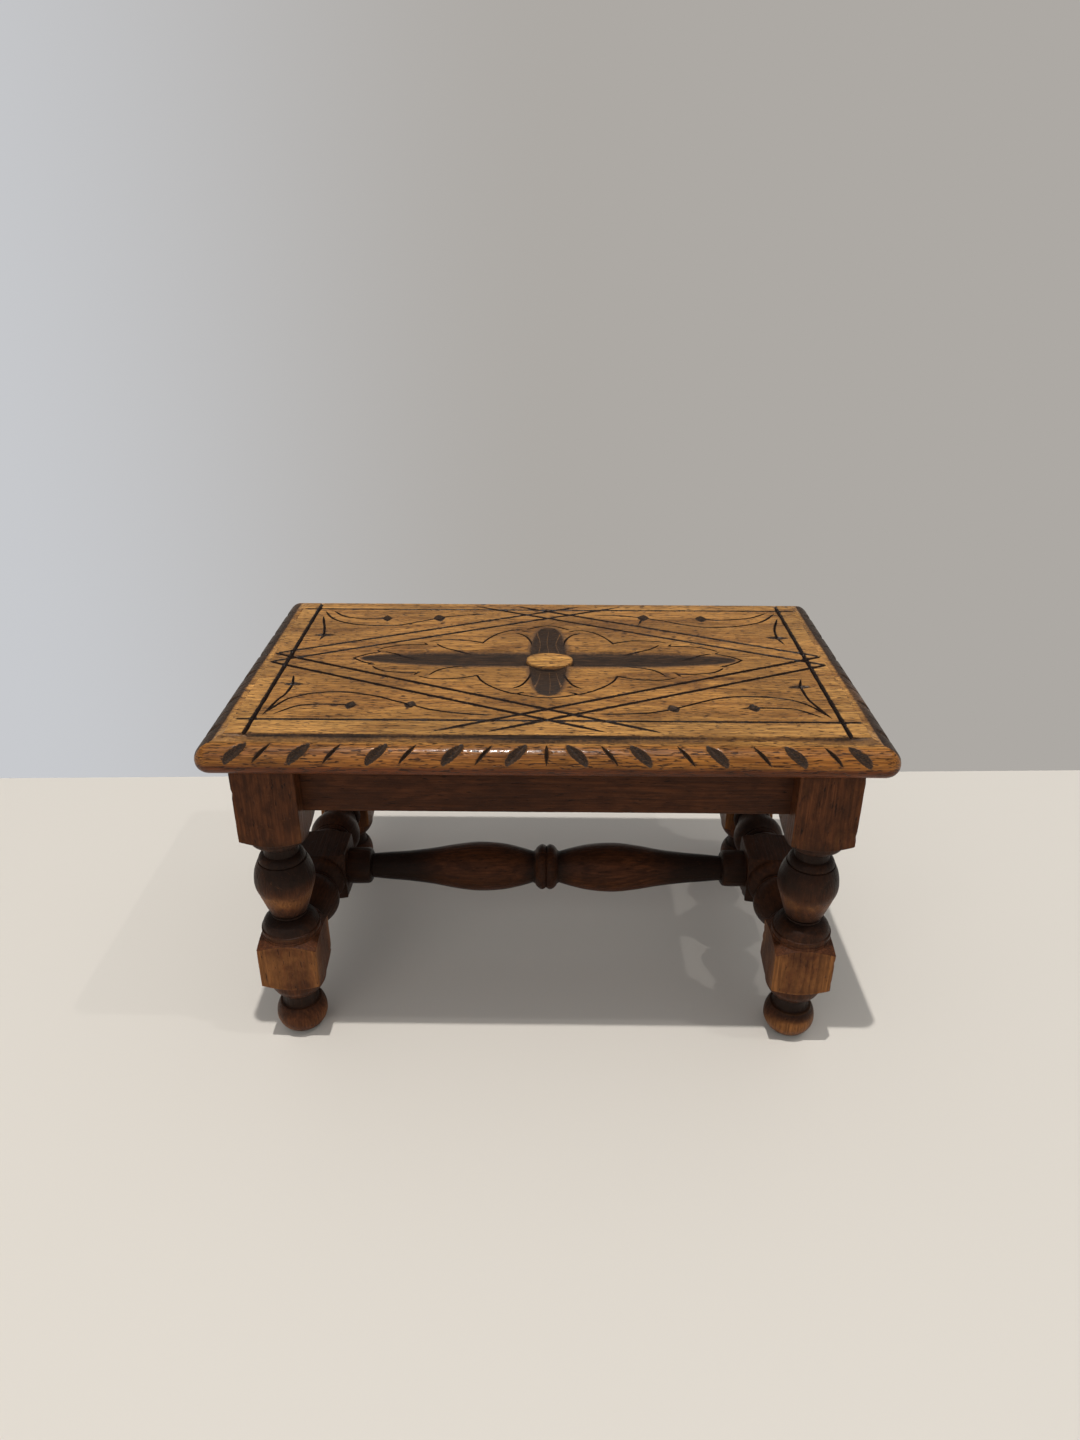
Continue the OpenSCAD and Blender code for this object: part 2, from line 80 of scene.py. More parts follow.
def spline(points, step):
    # Catmull-Rom curve through the points, resampled at even steps of its length
    p = np.asarray(points, float)
    if len(p) > 2:
        ends = np.vstack([2 * p[0] - p[1], p, 2 * p[-1] - p[-2]])
        t = np.linspace(0, 1, 13)[:-1, None]
        parts = []
        for i in range(len(p) - 1):
            a, b, c, d = ends[i:i + 4]
            parts.append(0.5 * (2 * b + (c - a) * t + (2 * a - 5 * b + 4 * c - d) * t ** 2
                                + (3 * b - a - 3 * c + d) * t ** 3))
        p = np.vstack(parts + [p[-1:]])
    along = lengthAlong(p)
    places = np.linspace(0, along[-1], max(2, math.ceil(along[-1] / step) + 1))
    return np.stack([np.interp(places, along, p[:, k]) for k in range(p.shape[1])], 1)


def capFan(ring, centre, flip):
    # triangles from a ring of vertex numbers to one centre vertex
    a, b = ring, np.roll(ring, -1)
    middle = np.full(len(a), centre)
    return np.stack([b, a, middle] if flip else [a, b, middle], 1)


def weld(points, faces, marks, reach=0.002):
    # joins vertices that lie within 2 micrometres; a quad with one side gone becomes a triangle
    keys = np.round(points / reach).astype(np.int64)
    _, first, back = np.unique(keys, axis=0, return_index=True, return_inverse=True)
    kept = []
    for group in faces:
        group = back.reshape(-1)[group]
        ok = (group != np.roll(group, -1, 1)).all(1)
        thin = [list(dict.fromkeys(face)) for face in group[~ok].tolist()]
        thin = [face for face in thin if len(face) == 3]
        if thin:
            kept.append(np.array(thin))
        kept.append(group[ok])
    return points[first], kept, {name: values[first] for name, values in marks.items()}


def nodeOf(name):
    # the CAD node that a piece stands for, as leg_front_left for legFrontLeft
    return "".join("_" + letter.lower() if letter.isupper() else letter for letter in name)


def newObject(name, data):
    made = bpy.data.objects.new(name, data)
    bpy.context.scene.collection.objects.link(made)
    return made


def makePiece(name, points, faces, marks, crispAngle):
    # a mesh object from a points array in millimetres, face arrays and one number per vertex for each mark
    points, faces, marks = weld(points, faces, marks)
    mesh = bpy.data.meshes.new(name)
    mesh.from_pydata((points * mm).tolist(), [], [face for group in faces for face in group.tolist()])
    mesh.polygons.foreach_set("use_smooth", np.ones(len(mesh.polygons), bool))
    mesh.set_sharp_from_angle(angle=math.radians(crispAngle))
    for mark, values in marks.items():
        layer = mesh.attributes.new(mark, "FLOAT", "POINT")
        layer.data.foreach_set("value", values.astype(np.float32))
    mesh.validate()
    mesh.update()
    piece = newObject(name, mesh)
    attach(piece, "root")
    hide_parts(nodeOf(name))
    print("piece", name, len(mesh.vertices), "vertices")
    return piece


def tubePiece(name, grid, ends, centre, marks):
    # a stained piece of the frame: rows of points round an axis, closed by a fan at each end
    rows, cols = grid.shape[:2]
    number = np.arange(rows * cols).reshape(rows, cols)
    after = np.roll(number, -1, 1)
    faces = [np.stack([number[:-1], after[:-1], after[1:], number[1:]], -1).reshape(-1, 4),
             capFan(number[0], rows * cols, True), capFan(number[-1], rows * cols + 1, False)]
    points = np.vstack([grid.reshape(-1, 3), ends]) + centre
    marks = {mark: np.append(np.broadcast_to(values, (rows, cols)), [0, 0]) for mark, values in marks.items()}
    return makePiece(name, points, faces, marks, 42)


# Each run is (sampling step, points of distance along the axis and radius); runs meet at crisp lines. Polish
# and block wear are (place, reach, strength); edge wear and grime with painted shade are (place, strength).
legTurning = {
    "square": stoolSizes["square"],
    "runs": [
        (0.7, [(0, 6.7), (1, 8.9), (2.5, 11.1), (5, 13.1), (8, 14.35), (10.5, 14.65), (14, 14.3), (17, 13.35),
               (19.1, 12.15)]),
        (0.2, [(19.1, 12.15), (19.4, 11.8), (19.5, 10.9)]),
        (0.5, [(19.5, 10.9), (20.4, 10.35), (24, 10.2), (27.4, 10.5)]),
        (0.25, [(27.4, 10.5), (27.9, 11.4)]),
        (0.6, [(27.9, 11.4), (29, 12.9), (31, 14.45), (34, 15.85), (37.5, 16.35), (38.3, 16.4)]),
        (0.35, [(38.3, 16.4), (41.8, 24.3)]),
        (2.5, [(41.8, 24.3), (65.7, 24.3)]),
        (0.35, [(65.7, 24.3), (69.2, 16.4)]),
        (0.3, [(69.2, 16.4), (70.6, 16.35)]),
        (0.2, [(70.6, 16.35), (70.9, 15.95), (71.4, 15.95), (71.7, 16.35)]),
        (0.35, [(71.7, 16.35), (73.0, 16.4), (73.9, 16.3)]),
        (0.2, [(73.9, 16.3), (74.2, 15.6)]),
        (0.5, [(74.2, 15.6), (76, 15.3), (78, 14.3), (79.8, 12.3), (81, 9.0)]),
        (0.3, [(81, 9.0), (81.8, 8.95)]),
        (0.25, [(81.8, 8.95), (82.0, 9.8), (82.5, 10.0), (83.0, 9.8), (83.2, 9.1)]),
        (0.3, [(83.2, 9.1), (83.9, 9.1)]),
        (0.7, [(83.9, 9.9), (84.5, 10.5), (91, 12.8), (98, 15.0), (101.5, 16.15), (105, 16.6), (110, 16.1),
               (114, 15.0), (117.7, 13.35)]),
        (0.2, [(117.7, 13.35), (117.95, 13.1), (118.0, 12.5)]),
        (0.5, [(118.0, 12.5), (118.5, 12.75), (119.5, 12.6), (121, 11.85), (122, 10.85), (122.7, 9.6)]),
        (0.6, [(122.7, 9.6), (125, 9.4), (128.5, 9.5)]),
        (0.2, [(128.5, 9.5), (128.6, 11.1), (129.2, 11.4), (129.9, 11.35), (130.2, 11.1)]),
        (0.4, [(130.2, 13.4), (131.4, 15.0), (133, 16.0), (135.2, 16.4)]),
        (0.35, [(135.2, 16.4), (138.8, 24.3)]),
        (3.0, [(138.8, 24.3), (182, 24.3)]),
    ],
    # the narrow polish rings at 19.2, 70.2, 73.2 and 117.5 are worn rims and also painted highlight lines
    "polish": [(96, 7.5, 1.05), (8, 7, 1.2), (19.2, 0.5, 0.55), (73.2, 0.8, 0.55), (70.2, 0.5, 0.3),
               (117.5, 0.5, 0.5), (132, 3, 0.15)],
    "blockWear": [(53.5, 16, 0.72), (141, 7, 0.25), (160, 30, 0.16)],
    "edgeWear": [(0, 0.9), (75, 0.9), (125, 0.3), (182, 0.12)],
    "grimeAndShade": [(0, 0), (14, 0.05), (19, 0.6), (27, 0.75), (33, 0.22), (40, 0), (66, 0), (72, 0.3), (75, 0.75),
              (81, 0.95), (87, 0.42), (93, 0.06), (99, 0.14), (104, 0.5), (109, 0.9), (123, 1.0), (134, 0.75),
              (140, 0.13), (182, 0.09)],
}

sideTurning = {
    "square": stoolSizes["square"],
    "half": [
        (2.5, [(0, 24.3), (12.3, 24.3)]),
        (0.35, [(12.3, 24.3), (15.2, 16.5)]),
        (0.4, [(15.2, 16.3), (17.5, 16.2), (19.5, 15.0), (21.5, 12.2), (22.3, 10.4)]),
        (0.4, [(22.3, 10.4), (23.6, 10.0), (24.6, 10.4)]),
        (0.3, [(24.6, 10.4), (25.2, 12.4), (26.6, 13.3), (28.0, 12.8)]),
        (0.6, [(28.0, 13.4), (31.5, 15.6), (36, 16.5), (41, 15.7), (47, 13.4), (53, 11.0), (57, 10.2)]),
        (0.3, [(57, 10.2), (57.4, 11.8), (58.6, 12.6), (60.2, 12.8), (62.2, 12.4), (63.4, 11.2)]),
        (0.4, [(63.4, 10.2), (67.0, 10.0)]),
        (0.5, [(67.0, 5.5), (80.5, 5.5)]),
    ],
    "polish": [(36, 6, 0.35)],
    "blockWear": [(0, 14, 0.10)],
    "edgeWear": [(-20, 0.35), (20, 0.35)],
    # the whole stretcher is painted darker: painted shade under the stool, with grime
    "grimeAndShade": [(-81, 0.63), (81, 0.63)],
}

centreTurning = {
    "square": 60.0,  # wider than the turning, so that no square shows
    "half": [
        (0.2, [(0, 13.2), (0.5, 13.9)]),
        (0.4, [(0.5, 13.9), (2.4, 14.6), (4.6, 13.9), (6.6, 12.0)]),
        (0.3, [(6.6, 11.6), (7.3, 10.8), (8.4, 10.2)]),
        (0.9, [(8.4, 10.2), (16.5, 12.5), (28, 14.9), (43.5, 15.8), (58, 14.3), (72.6, 11.8), (88, 9.9),
               (102, 8.8), (112.4, 7.8)]),
        (0.3, [(112.4, 7.8), (112.6, 9.6), (113.6, 11.0), (115.0, 11.6)]),
        (0.9, [(115.0, 11.6), (121, 11.8), (127.4, 11.6)]),
        (0.5, [(127.4, 5.5), (139.3, 5.5)]),
    ],
    "polish": [(43.5, 16, 0.22)],
    "blockWear": [],
    "edgeWear": [(0, 0)],
    "grimeAndShade": [(-115, 0.65), (-90, 0.32), (-40, 0.1), (-12, 0.3), (0, 0.6), (12, 0.3), (40, 0.1), (90, 0.32),
              (115, 0.65)],
}


turnedDetail = {
    "arris": 0.035, "arrisVaries": 0.02,  # softness of the squares' edges, as a share
    "blend": 0.45,  # rounding where the turning meets the square
    "arrisRadius": 23.0,  # distance of the squares' edges from the axis
    "hewnSlow": 0.07, "hewnFine": 0.03, "turnedUneven": 0.05,  # unevenness of the squares and the round parts
    "nicks": 16, "nickWidth": (0.7, 2.2), "nickDepth": (0.15, 0.55), "nickReach": 1.6,
    "edgeReach": 3.2, "shoulderReach": 2.2,  # how far the wear spreads from the edges
    "darkRadius": (9.5, 14.5),  # the slender parts are painted darker: painted shade in the necks and coves, with grime
}


def turnedPiece(name, turning, centre, axis, seed):
    # r(angle, t) = the softer minimum of the lathe profile r(t) and of the square, half / max(|cos|, |sin|).
    # That maximum is softened too, which rounds the arrises. Noise and nicks are taken off
    detail = turnedDetail
    draw = np.random.default_rng(seed)
    runs, sides = turning.get("runs"), [1]
    if not runs:
        half, sides = turning["half"], [1, -1]
        runs = [(step, [(-t, r) for t, r in reversed(points)]) for step, points in reversed(half)] + half
    curve = np.vstack([spline(points, step) for step, points in runs])
    t, radius = curve[:, :1], curve[:, 1:]
    u = np.linspace(-1, 1, 40, endpoint=False)
    quarter = (math.pi / 4) * (0.33 * u + 0.67 * u ** 3) + math.pi / 4
    angle = np.concatenate([quarter + k * math.pi / 2 for k in range(4)])[None, :]
    c, s = np.abs(np.cos(angle)), np.abs(np.sin(angle))
    place = np.stack(np.broadcast_arrays(16 * np.cos(angle), 16 * np.sin(angle), t), -1).reshape(-1, 3)
    slow = softNoise(place, 0.10, seed).reshape(len(t), -1)
    fine = softNoise(place, 0.55, seed + 7).reshape(len(t), -1)

    soft = detail["arris"] + detail["arrisVaries"] * np.clip(slow, -0.6, 1)
    gap = np.maximum(soft - np.abs(c - s), 0) / soft
    flat = turning["square"] / (np.maximum(c, s) + gap ** 2 * soft / 4)
    blend = detail["blend"]
    near = np.maximum(blend - np.abs(flat - radius), 0) / blend
    r = np.minimum(flat, radius) - near ** 2 * blend / 4
    onBlock = smoothStep(radius - flat, -0.2, 0.5)
    hewn = detail["hewnSlow"] * (1 + slow) + detail["hewnFine"] * (1 + fine)
    r = r - onBlock * hewn * smoothStep(r, 5, 9)
    r = r - (1 - onBlock) * detail["turnedUneven"] * (1 + slow) * smoothStep(r, 6, 9)
    blockRows = curve[curve[:, 1] > detail["arrisRadius"], 0]
    for _ in range(detail["nicks"] if len(blockRows) else 0):
        at, turn = draw.choice(blockRows), draw.integers(4) * math.pi / 2 + math.pi / 4
        width, depth = draw.uniform(*detail["nickWidth"]), draw.uniform(*detail["nickDepth"])
        away = np.abs((angle - turn + math.pi) % (2 * math.pi) - math.pi) * detail["arrisRadius"]
        r = r - depth * np.exp(-((t - at) / width) ** 2 - (away / detail["nickReach"]) ** 2) * onBlock

    fromArris = turning["square"] * (1 - np.minimum(c, s) / np.maximum(c, s))
    edge = np.interp(t, *np.transpose(turning["edgeWear"]))
    nearEdge = 0.7 * np.exp(-(fromArris / detail["edgeReach"]) ** 1.2)
    nearEdge = nearEdge + 0.5 * np.exp(-np.abs(flat - radius) / detail["shoulderReach"])
    worn = edge * onBlock * np.clip(nearEdge * (1 + 0.35 * slow), 0, 1)
    for at, reach, strength in turning["blockWear"]:
        worn = worn + strength * np.exp(-((t - at) / reach) ** 4) * onBlock * (0.75 + 0.25 * slow)
    for at, reach, strength in turning["polish"]:
        for side in sides:
            rubbed = np.exp(-((t - side * at) / reach) ** 2)
            worn = worn + strength * rubbed * (1 - onBlock) * (0.7 + 0.5 * slow)
    # grime and painted shade: darker by height along the piece, and darkest on the slender turned parts
    grimeAndShade = np.interp(t, *np.transpose(turning["grimeAndShade"])) * (1 + 0.3 * slow)
    grimeAndShade = np.maximum(grimeAndShade, (1 - onBlock) * (1 - smoothStep(r, *detail["darkRadius"])))

    grid = np.stack(np.broadcast_arrays(r * np.cos(angle), r * np.sin(angle), t), -1)
    ends = np.array([[0, 0, t[0, 0]], [0, 0, t[-1, 0]]])
    order = {"z": [0, 1, 2], "x": [2, 0, 1], "y": [1, 2, 0]}[axis]
    return tubePiece(name, grid[..., order], ends[:, order], centre,
                     {"worn": np.clip(worn, 0, 1), "grimeAndShade": np.clip(grimeAndShade, 0, 1)})


legX, legY, stretcherZ = stoolSizes["legX"], stoolSizes["legY"], stoolSizes["stretcherZ"]
stained = {}
for name, x, y, seed in (("legFrontLeft", -1, -1, 11), ("legFrontRight", 1, -1, 12),
                         ("legBackLeft", -1, 1, 13), ("legBackRight", 1, 1, 14)):
    stained[name] = turnedPiece(name, legTurning, (x * legX, y * legY, 0), "z", seed)
for name, x, seed in (("stretcherLeft", -1, 21), ("stretcherRight", 1, 22)):
    stained[name] = turnedPiece(name, sideTurning, (x * legX, 0, stretcherZ), "y", seed)
stained["stretcherCentre"] = turnedPiece("stretcherCentre", centreTurning, (0, 0, stretcherZ), "x", 31)
print("turned pieces made")


railSizes = {
    "thickness": 13.0, "bottom": 151.5, "top": 182.0, "arris": 1.1,
    "tenon": 6.0, "tenonLength": 12.0, "tenonArris": 0.4, "shoulder": 5.0,
    "longHalf": 127.4, "shortHalf": 67.0,
    "uneven": 0.006,  # how much the plane has taken off, as a share
    "edgeWear": 0.25, "grimeAndShade": 0.15,
}


def railSection(a, b, edge):
    # outline of a rectangle of half sizes a and b, with corners of the radius edge and points on its flats
    arcs = []
    for k, (x, z) in enumerate(((1, 1), (-1, 1), (-1, -1), (1, -1))):
        turn = math.pi / 2 * (k + np.linspace(0, 1, 8))
        arcs.append(np.stack([x * (a - edge) + edge * np.cos(turn), z * (b - edge) + edge * np.sin(turn)], 1))
    w = np.linspace(0, 1, 14)[1:-1, None]
    flats = [arcs[k][-1] * (1 - w) + arcs[(k + 1) % 4][0] * w for k in range(4)]
    return np.vstack([part for pair in zip(arcs, flats) for part in pair])


def railPiece(name, axis, offset, half, seed):
    # the section carried along the rail, a little uneven, and thinner for the tenons beyond the shoulders
    s = railSizes
    a, b, middle = s["thickness"] / 2, (s["top"] - s["bottom"]) / 2, (s["top"] + s["bottom"]) / 2
    full = railSection(a, b, s["arris"])
    thin = railSection(s["tenon"] / 2, b - s["shoulder"], s["tenonArris"])
    stations = np.linspace(-half, half, int(half * 2 / 2.2))
    end = half + s["tenonLength"]
    x = np.concatenate([[-end, -half], stations, [half, end]])
    y, z = np.moveaxis(np.stack([thin, thin] + [full] * len(stations) + [thin, thin]), -1, 0)
    x = np.broadcast_to(x[:, None], y.shape)
    isFull = np.zeros((len(x), 1))
    isFull[2:-2] = 1
    slow = softNoise(np.stack([x, y * 3, z * 3], -1).reshape(-1, 3), 0.035, seed).reshape(x.shape)
    corner = np.maximum(np.abs(y) - (a - 1.8), 0) * np.maximum(np.abs(z) - (b - 1.8), 0)
    # the top 4 mm of each rail, under the board, is painted darker: painted shade with grime
    marks = {"worn": isFull * s["edgeWear"] * np.clip(corner / 1.6, 0, 1),
             "grimeAndShade": s["grimeAndShade"] * isFull * (z > b - 4)}
    shrink = 1 - isFull * s["uneven"] * (1 + slow)
    ends = np.array([[-end, 0, 0], [end, 0, 0]])
    y, z = y * shrink, z * shrink
    if axis == "x":
        return tubePiece(name, np.stack([x, y, z], -1), ends, (0, offset, middle), marks)
    return tubePiece(name, np.stack([-y, x, z], -1), ends[:, [1, 0, 2]], (offset, 0, middle), marks)


for name, axis, offset, half, seed in (
        ("railFront", "x", -legY, "longHalf", 41), ("railBack", "x", legY, "longHalf", 42),
        ("railLeft", "y", -legX, "shortHalf", 43), ("railRight", "y", legX, "shortHalf", 44)):
    stained[name] = railPiece(name, axis, offset, railSizes[half], seed)
print("rails made")


topEdge = {
    "quirk": [(0, 0), (0.22, 0.35), (0.35, 1.5), (0.8, 2.15), (2.0, 2.4), (3.6, 2.5), (4.7, 2.42)],
    "quirkWidth": 5.2, "quirkDrop": 2.4,  # the sunk band round the field
    "upperRadius": 9.0, "lowerRadius": 6.3,  # the nose
    "lean": 39.0,  # of the gouges, degrees from upright
    "broadWidth": 6.0, "broadDepth": 2.3, "narrowWidth": 2.3, "narrowDepth": 1.9,
    "broadRound": 0.5, "narrowRound": 0.05,  # how blunt the bottoms of the cuts are
    "toolReach": 26.0, "deepest": 4.0,  # no tool cuts further along or deeper than this
    "uneven": 0.06,  # how much the plane has taken off
    "broadLong": [15, 46.4, 84, 122.5, 154], "narrowLong": [31, 68.6, 106, 141],
    "broadShort": [17, 52, 86], "narrowShort": [34, 69.5],
    "quirkFade": 0.75,  # how far the quirk fades out at the corners
    "leanFrom": 11.0,  # distance from the middle at which the gouges lean fully
    "leanEnd": 9.0, "mitreFrom": 12.0, "fadeFrom": 16.0,  # distances from the corner
    "meetLong": (151.3, 27.5, 55), "meetShort": (-79, 83.5),  # where grooves of the face meet the sides
}

topStain = {
    # a thin dark line at the foot of the field's step: painted shade with stain
    "quirkWallStainAndShade": 0.26, "quirk": 0.34, "quirkVaries": 0.9, "quirkAtEnds": 0.25,
    "endGrain": 0.72, "endGrainVaries": 0.2,
    "endGrainFrom": (4.0, 5.6), "endGrainFade": (6, 11),  # distances out and down
    "shineAt": 0.55, "shineReach": 0.45,  # where the nose shines: its arc's angle, in radians
    "fieldShine": 0.12,
}


def mouldingRows():
    # section of the edge from the field outwards: distance out u, drop v, the angle of the nose's arc or nan,
    # and q, the way round the nose from its middle, by which the leaning gouges are sheared
    e = topEdge
    quirk = np.array(e["quirk"])
    arc = np.radians(np.linspace(0, 90, 29))
    radius, low, drop, thick = e["upperRadius"], e["lowerRadius"], e["quirkDrop"], stoolSizes["thickness"]
    nose = np.stack([e["quirkWidth"] + radius * np.sin(arc), drop + radius - radius * np.cos(arc)], 1)
    turn = np.radians(np.linspace(0, 90, 11))[1:]
    inset = e["quirkWidth"] + radius - low
    under = np.stack([inset + low * np.cos(turn), thick - low + low * np.sin(turn)], 1)
    inner = np.array([[inset - 3.0, thick], [0, thick]])
    span = radius * math.sin(math.pi / 4)
    q = np.concatenate([
        -span * smoothStep(quirk[:, 0], 0, e["quirkWidth"] + 0.6), radius * np.sin(arc - math.pi / 4),
        span * (1 - smoothStep(turn, 0, math.pi / 2)), [0, 0]])
    uv = np.vstack([quirk, nose, under, inner])
    angle = np.concatenate([np.full(len(quirk), np.nan), arc, np.full(len(under) + 2, np.nan)])
    return uv[:, 0], uv[:, 1], q, angle


def boardSides():
    # the four sides in order round the board: the way along, the way out, half the length, the distance out,
    # the broad gouges, the slits, and where the grooves of the face meet the side
    s, e = stoolSizes, topEdge
    found = []
    for way in (1.0, -1.0):
        found.append((np.array([way, 0]), np.array([0, -way]), s["fieldX"], s["fieldY"], e["broadLong"],
                      e["narrowLong"], [side * place for side in (-1, 1) for place in e["meetLong"]]))
        found.append((np.array([0, way]), np.array([way, 0]), s["fieldY"], s["fieldX"], e["broadShort"],
                      e["narrowShort"], [way * place for place in e["meetShort"]]))
    return found


def edgeStations(half, broad, narrow, crossings, step=2.2, fine=0.55, least=0.22):
    # places along an edge: close together across gouges and grooves and near the corners, wider apart between
    e = topEdge
    nearEnd = np.arange(half - 15, half, fine)
    places = [np.arange(-half, half + 0.1, step), [-half, half], nearEnd, -nearEnd]
    for centres, width in ((broad, e["broadWidth"]), (narrow, e["narrowWidth"])):
        reach = width / 2 / math.cos(math.radians(e["lean"]))
        across = reach * np.linspace(-1.2, 1.2, 15)
        places += [side * centre + across for centre in centres for side in (-1, 1)]
    places.append(e["narrowWidth"] / 2 * np.linspace(-1.2, 1.2, 11))
    places += [centre + np.linspace(-1.6, 1.6, 7) for centre in crossings]
    x = np.sort(np.concatenate(places))
    keep = [-half]
    for value in x[(x > -half) & (x <= half)]:
        if value - keep[-1] > least:
            keep.append(value)
    keep[-1] = half
    return np.array(keep)


def onBoard(points):
    # from the carving's own middle to the board's
    return np.asarray(points, float) + [0, carving["shift"]]


def lineFeature(points, half, depth, taper=(0, 0), straight=False, ink=1.0):
    # a carved line: its resampled path with half width and depth at each point, thinner where it runs out
    if straight:
        start, end = points
        count = int(np.linalg.norm(end - start) / 2.6) + 2
        path = start + (end - start) * np.linspace(0, 1, count)[:, None]
    else:
        path = spline(points, 1.15)
    along = lengthAlong(path)
    strength = np.ones(len(path))
    for reach, way in zip(taper, (along, along[-1] - along)):
        if reach:
            strength *= np.clip(0.12 + 0.88 * way / reach, 0, 1)
    strength *= 1 + 0.09 * np.sin(along / 3.1 + path[0, 0]) + 0.06 * np.sin(along / 1.7 + path[0, 1])
    return {"path": path, "half": half * strength ** 0.8, "depth": depth * strength, "ink": ink}


carving = {
    "shift": 1.5,  # of the whole pattern behind the middle of the board
    "crossGroove": (151.3, 1.35, 1.5, 0.8),  # place, half width, depth, reach of the ink, dark stain with painted shade
    "border": (-80.5, 82.0, 0.8, 0.9, 1.5),  # front and back place, half width, depth, reach of the ink with painted shade
    "lozenge": (66.8, 79.3, 0.4535, 1.1, 1.2, 1.3),  # inner and outer crossing, slope, then as above
    "leaf": (0.62, 0.85), "stem": (0.72, 0.9),  # half width, depth
    "boss": (1.2, -1.0, 13.4, 10.3, 0),  # centre, half sizes and turn
    "bossPower": 2.2, "budPower": 1.35,  # 2 for an ellipse, less for a diamond
    "spread": 0.45, "spreadStain": 0.42,  # of the thin stain beside a line
    "faint": 0.35,  # a line less deep than this takes less stain
    "budDepth": 1.15, "ridgeHeight": 0.3, "ridgeHalf": 0.9, "ridgeClean": 0.56, "unevenFace": 0.035,
    "smudge": 0.34, "smudgeReach": (1.1, 2.3),  # stain round the boss, in shares of it
    "hollowX": 0.4,  # middle of the hollows
    "longHollow": {"reach": 110.5, "depth": 3.0, "tip": 0.75, "frontPower": 0.5, "backPower": 1.15,
                   "frontWash": (0.62, 1.15, 3.5), "backWash": (0.28, 1.05, 3.5), "washFade": 0.06,
                   "at": [0, 50, 62, 72, 82, 92, 100, 106, 110.5],
                   "front": [10, 10, 9.4, 8.3, 7.0, 5.3, 3.6, 1.9, 0.05],
                   "back": [13, 12.6, 11.6, 9.8, 7.8, 5.9, 4.0, 2.0, 0.05]},
    "crossHollow": {"reach": 50.5, "depth": 2.9, "tip": 0.6, "power": 0.6,
                    "sideWash": (0.5, 1.25, 2.5), "washFade": 0.1,
                    "at": [0, 20, 30, 38, 43, 46.5, 49, 50.5],
                    "side": [11.6, 10.5, 9.3, 7.8, 6.5, 5.0, 3.1, 0.05]},
    "ridges": [[(1, -14), (1.6, -30), (1.4, -46)], [(-8.0, -43), (-5.5, -30), (-4.0, -15)],
               [(8.6, -43), (6.6, -30), (5.0, -15)], [(-7.0, 43), (-4.5, 28), (-5.5, 12)],
               [(0.6, 46), (-0.4, 30), (1, 13)], [(7.6, 40), (5.0, 27), (7.0, 12)]],
}

# One quarter of the leaf outline, from the tip to the apex; x and y positive.
leafQuarter = {
    "back": [
        ([(113.5, 0), (108, 5), (103, 7.6), (98.5, 9.7)], (0, 3)),
        ([(100, 10.2), (102, 12.2)], (0, 2)),
        ([(101.5, 13), (95, 17.6), (88, 20), (80, 20.9), (72.5, 21)], (2, 2)),
        ([(73, 21.2), (75, 24.4)], (0, 2)),
        ([(72.5, 26.3), (65, 28.6), (58, 29.2), (50, 28.6), (43.5, 26.4), (39.5, 24.4)], (2, 0)),
        ([(39.5, 24.4), (36.6, 31), (32.5, 37.6), (27.5, 42.6), (22, 45.7), (15.5, 47)], (0, 2)),
        ([(17, 45.4), (12.5, 43.0)], (1.5, 2)),
        ([(13.5, 46.5), (9.5, 49.5), (4.5, 52.6), (0, 54)], (2, 0)),
        ([(67.5, 23), (63, 17.5), (58, 14), (52, 11.2), (44, 8.6)], (3, 6)),
        ([(21, 41.5), (16, 38.5), (12.8, 34), (10.6, 28), (9.4, 21)], (3, 6)),
        ([(97, 10), (92, 7.6), (86, 5), (77, 2)], (2, 6)),
    ],
    "front": [
        ([(113.5, 0), (108, 5), (103, 8), (99, 10)], (0, 3)),
        ([(101, 8.5), (104, 9.5)], (0, 2)),
        ([(101, 11.5), (96, 16.8), (89, 19.5), (81, 20.6), (73, 21)], (2, 2)),
        ([(73, 20), (75.5, 24)], (0, 2)),
        ([(73, 25), (66, 28.3), (58, 29), (49, 27.6), (43, 25.4), (39.5, 24)], (2, 0)),
        ([(39.5, 24), (37, 30.5), (32.5, 37), (26, 43), (20, 47), (16, 48.5)], (0, 2)),
        ([(12, 45.5), (16, 48), (12, 50), (5, 52.2), (0, 52.8)], (2, 0)),
        ([(67, 24), (63, 17.6), (57, 13.4), (50, 11.4), (43, 10.6)], (3, 6)),
        ([(19, 41), (14.5, 37), (11.8, 31), (9.8, 24), (9.2, 18)], (3, 5)),
    ],
}

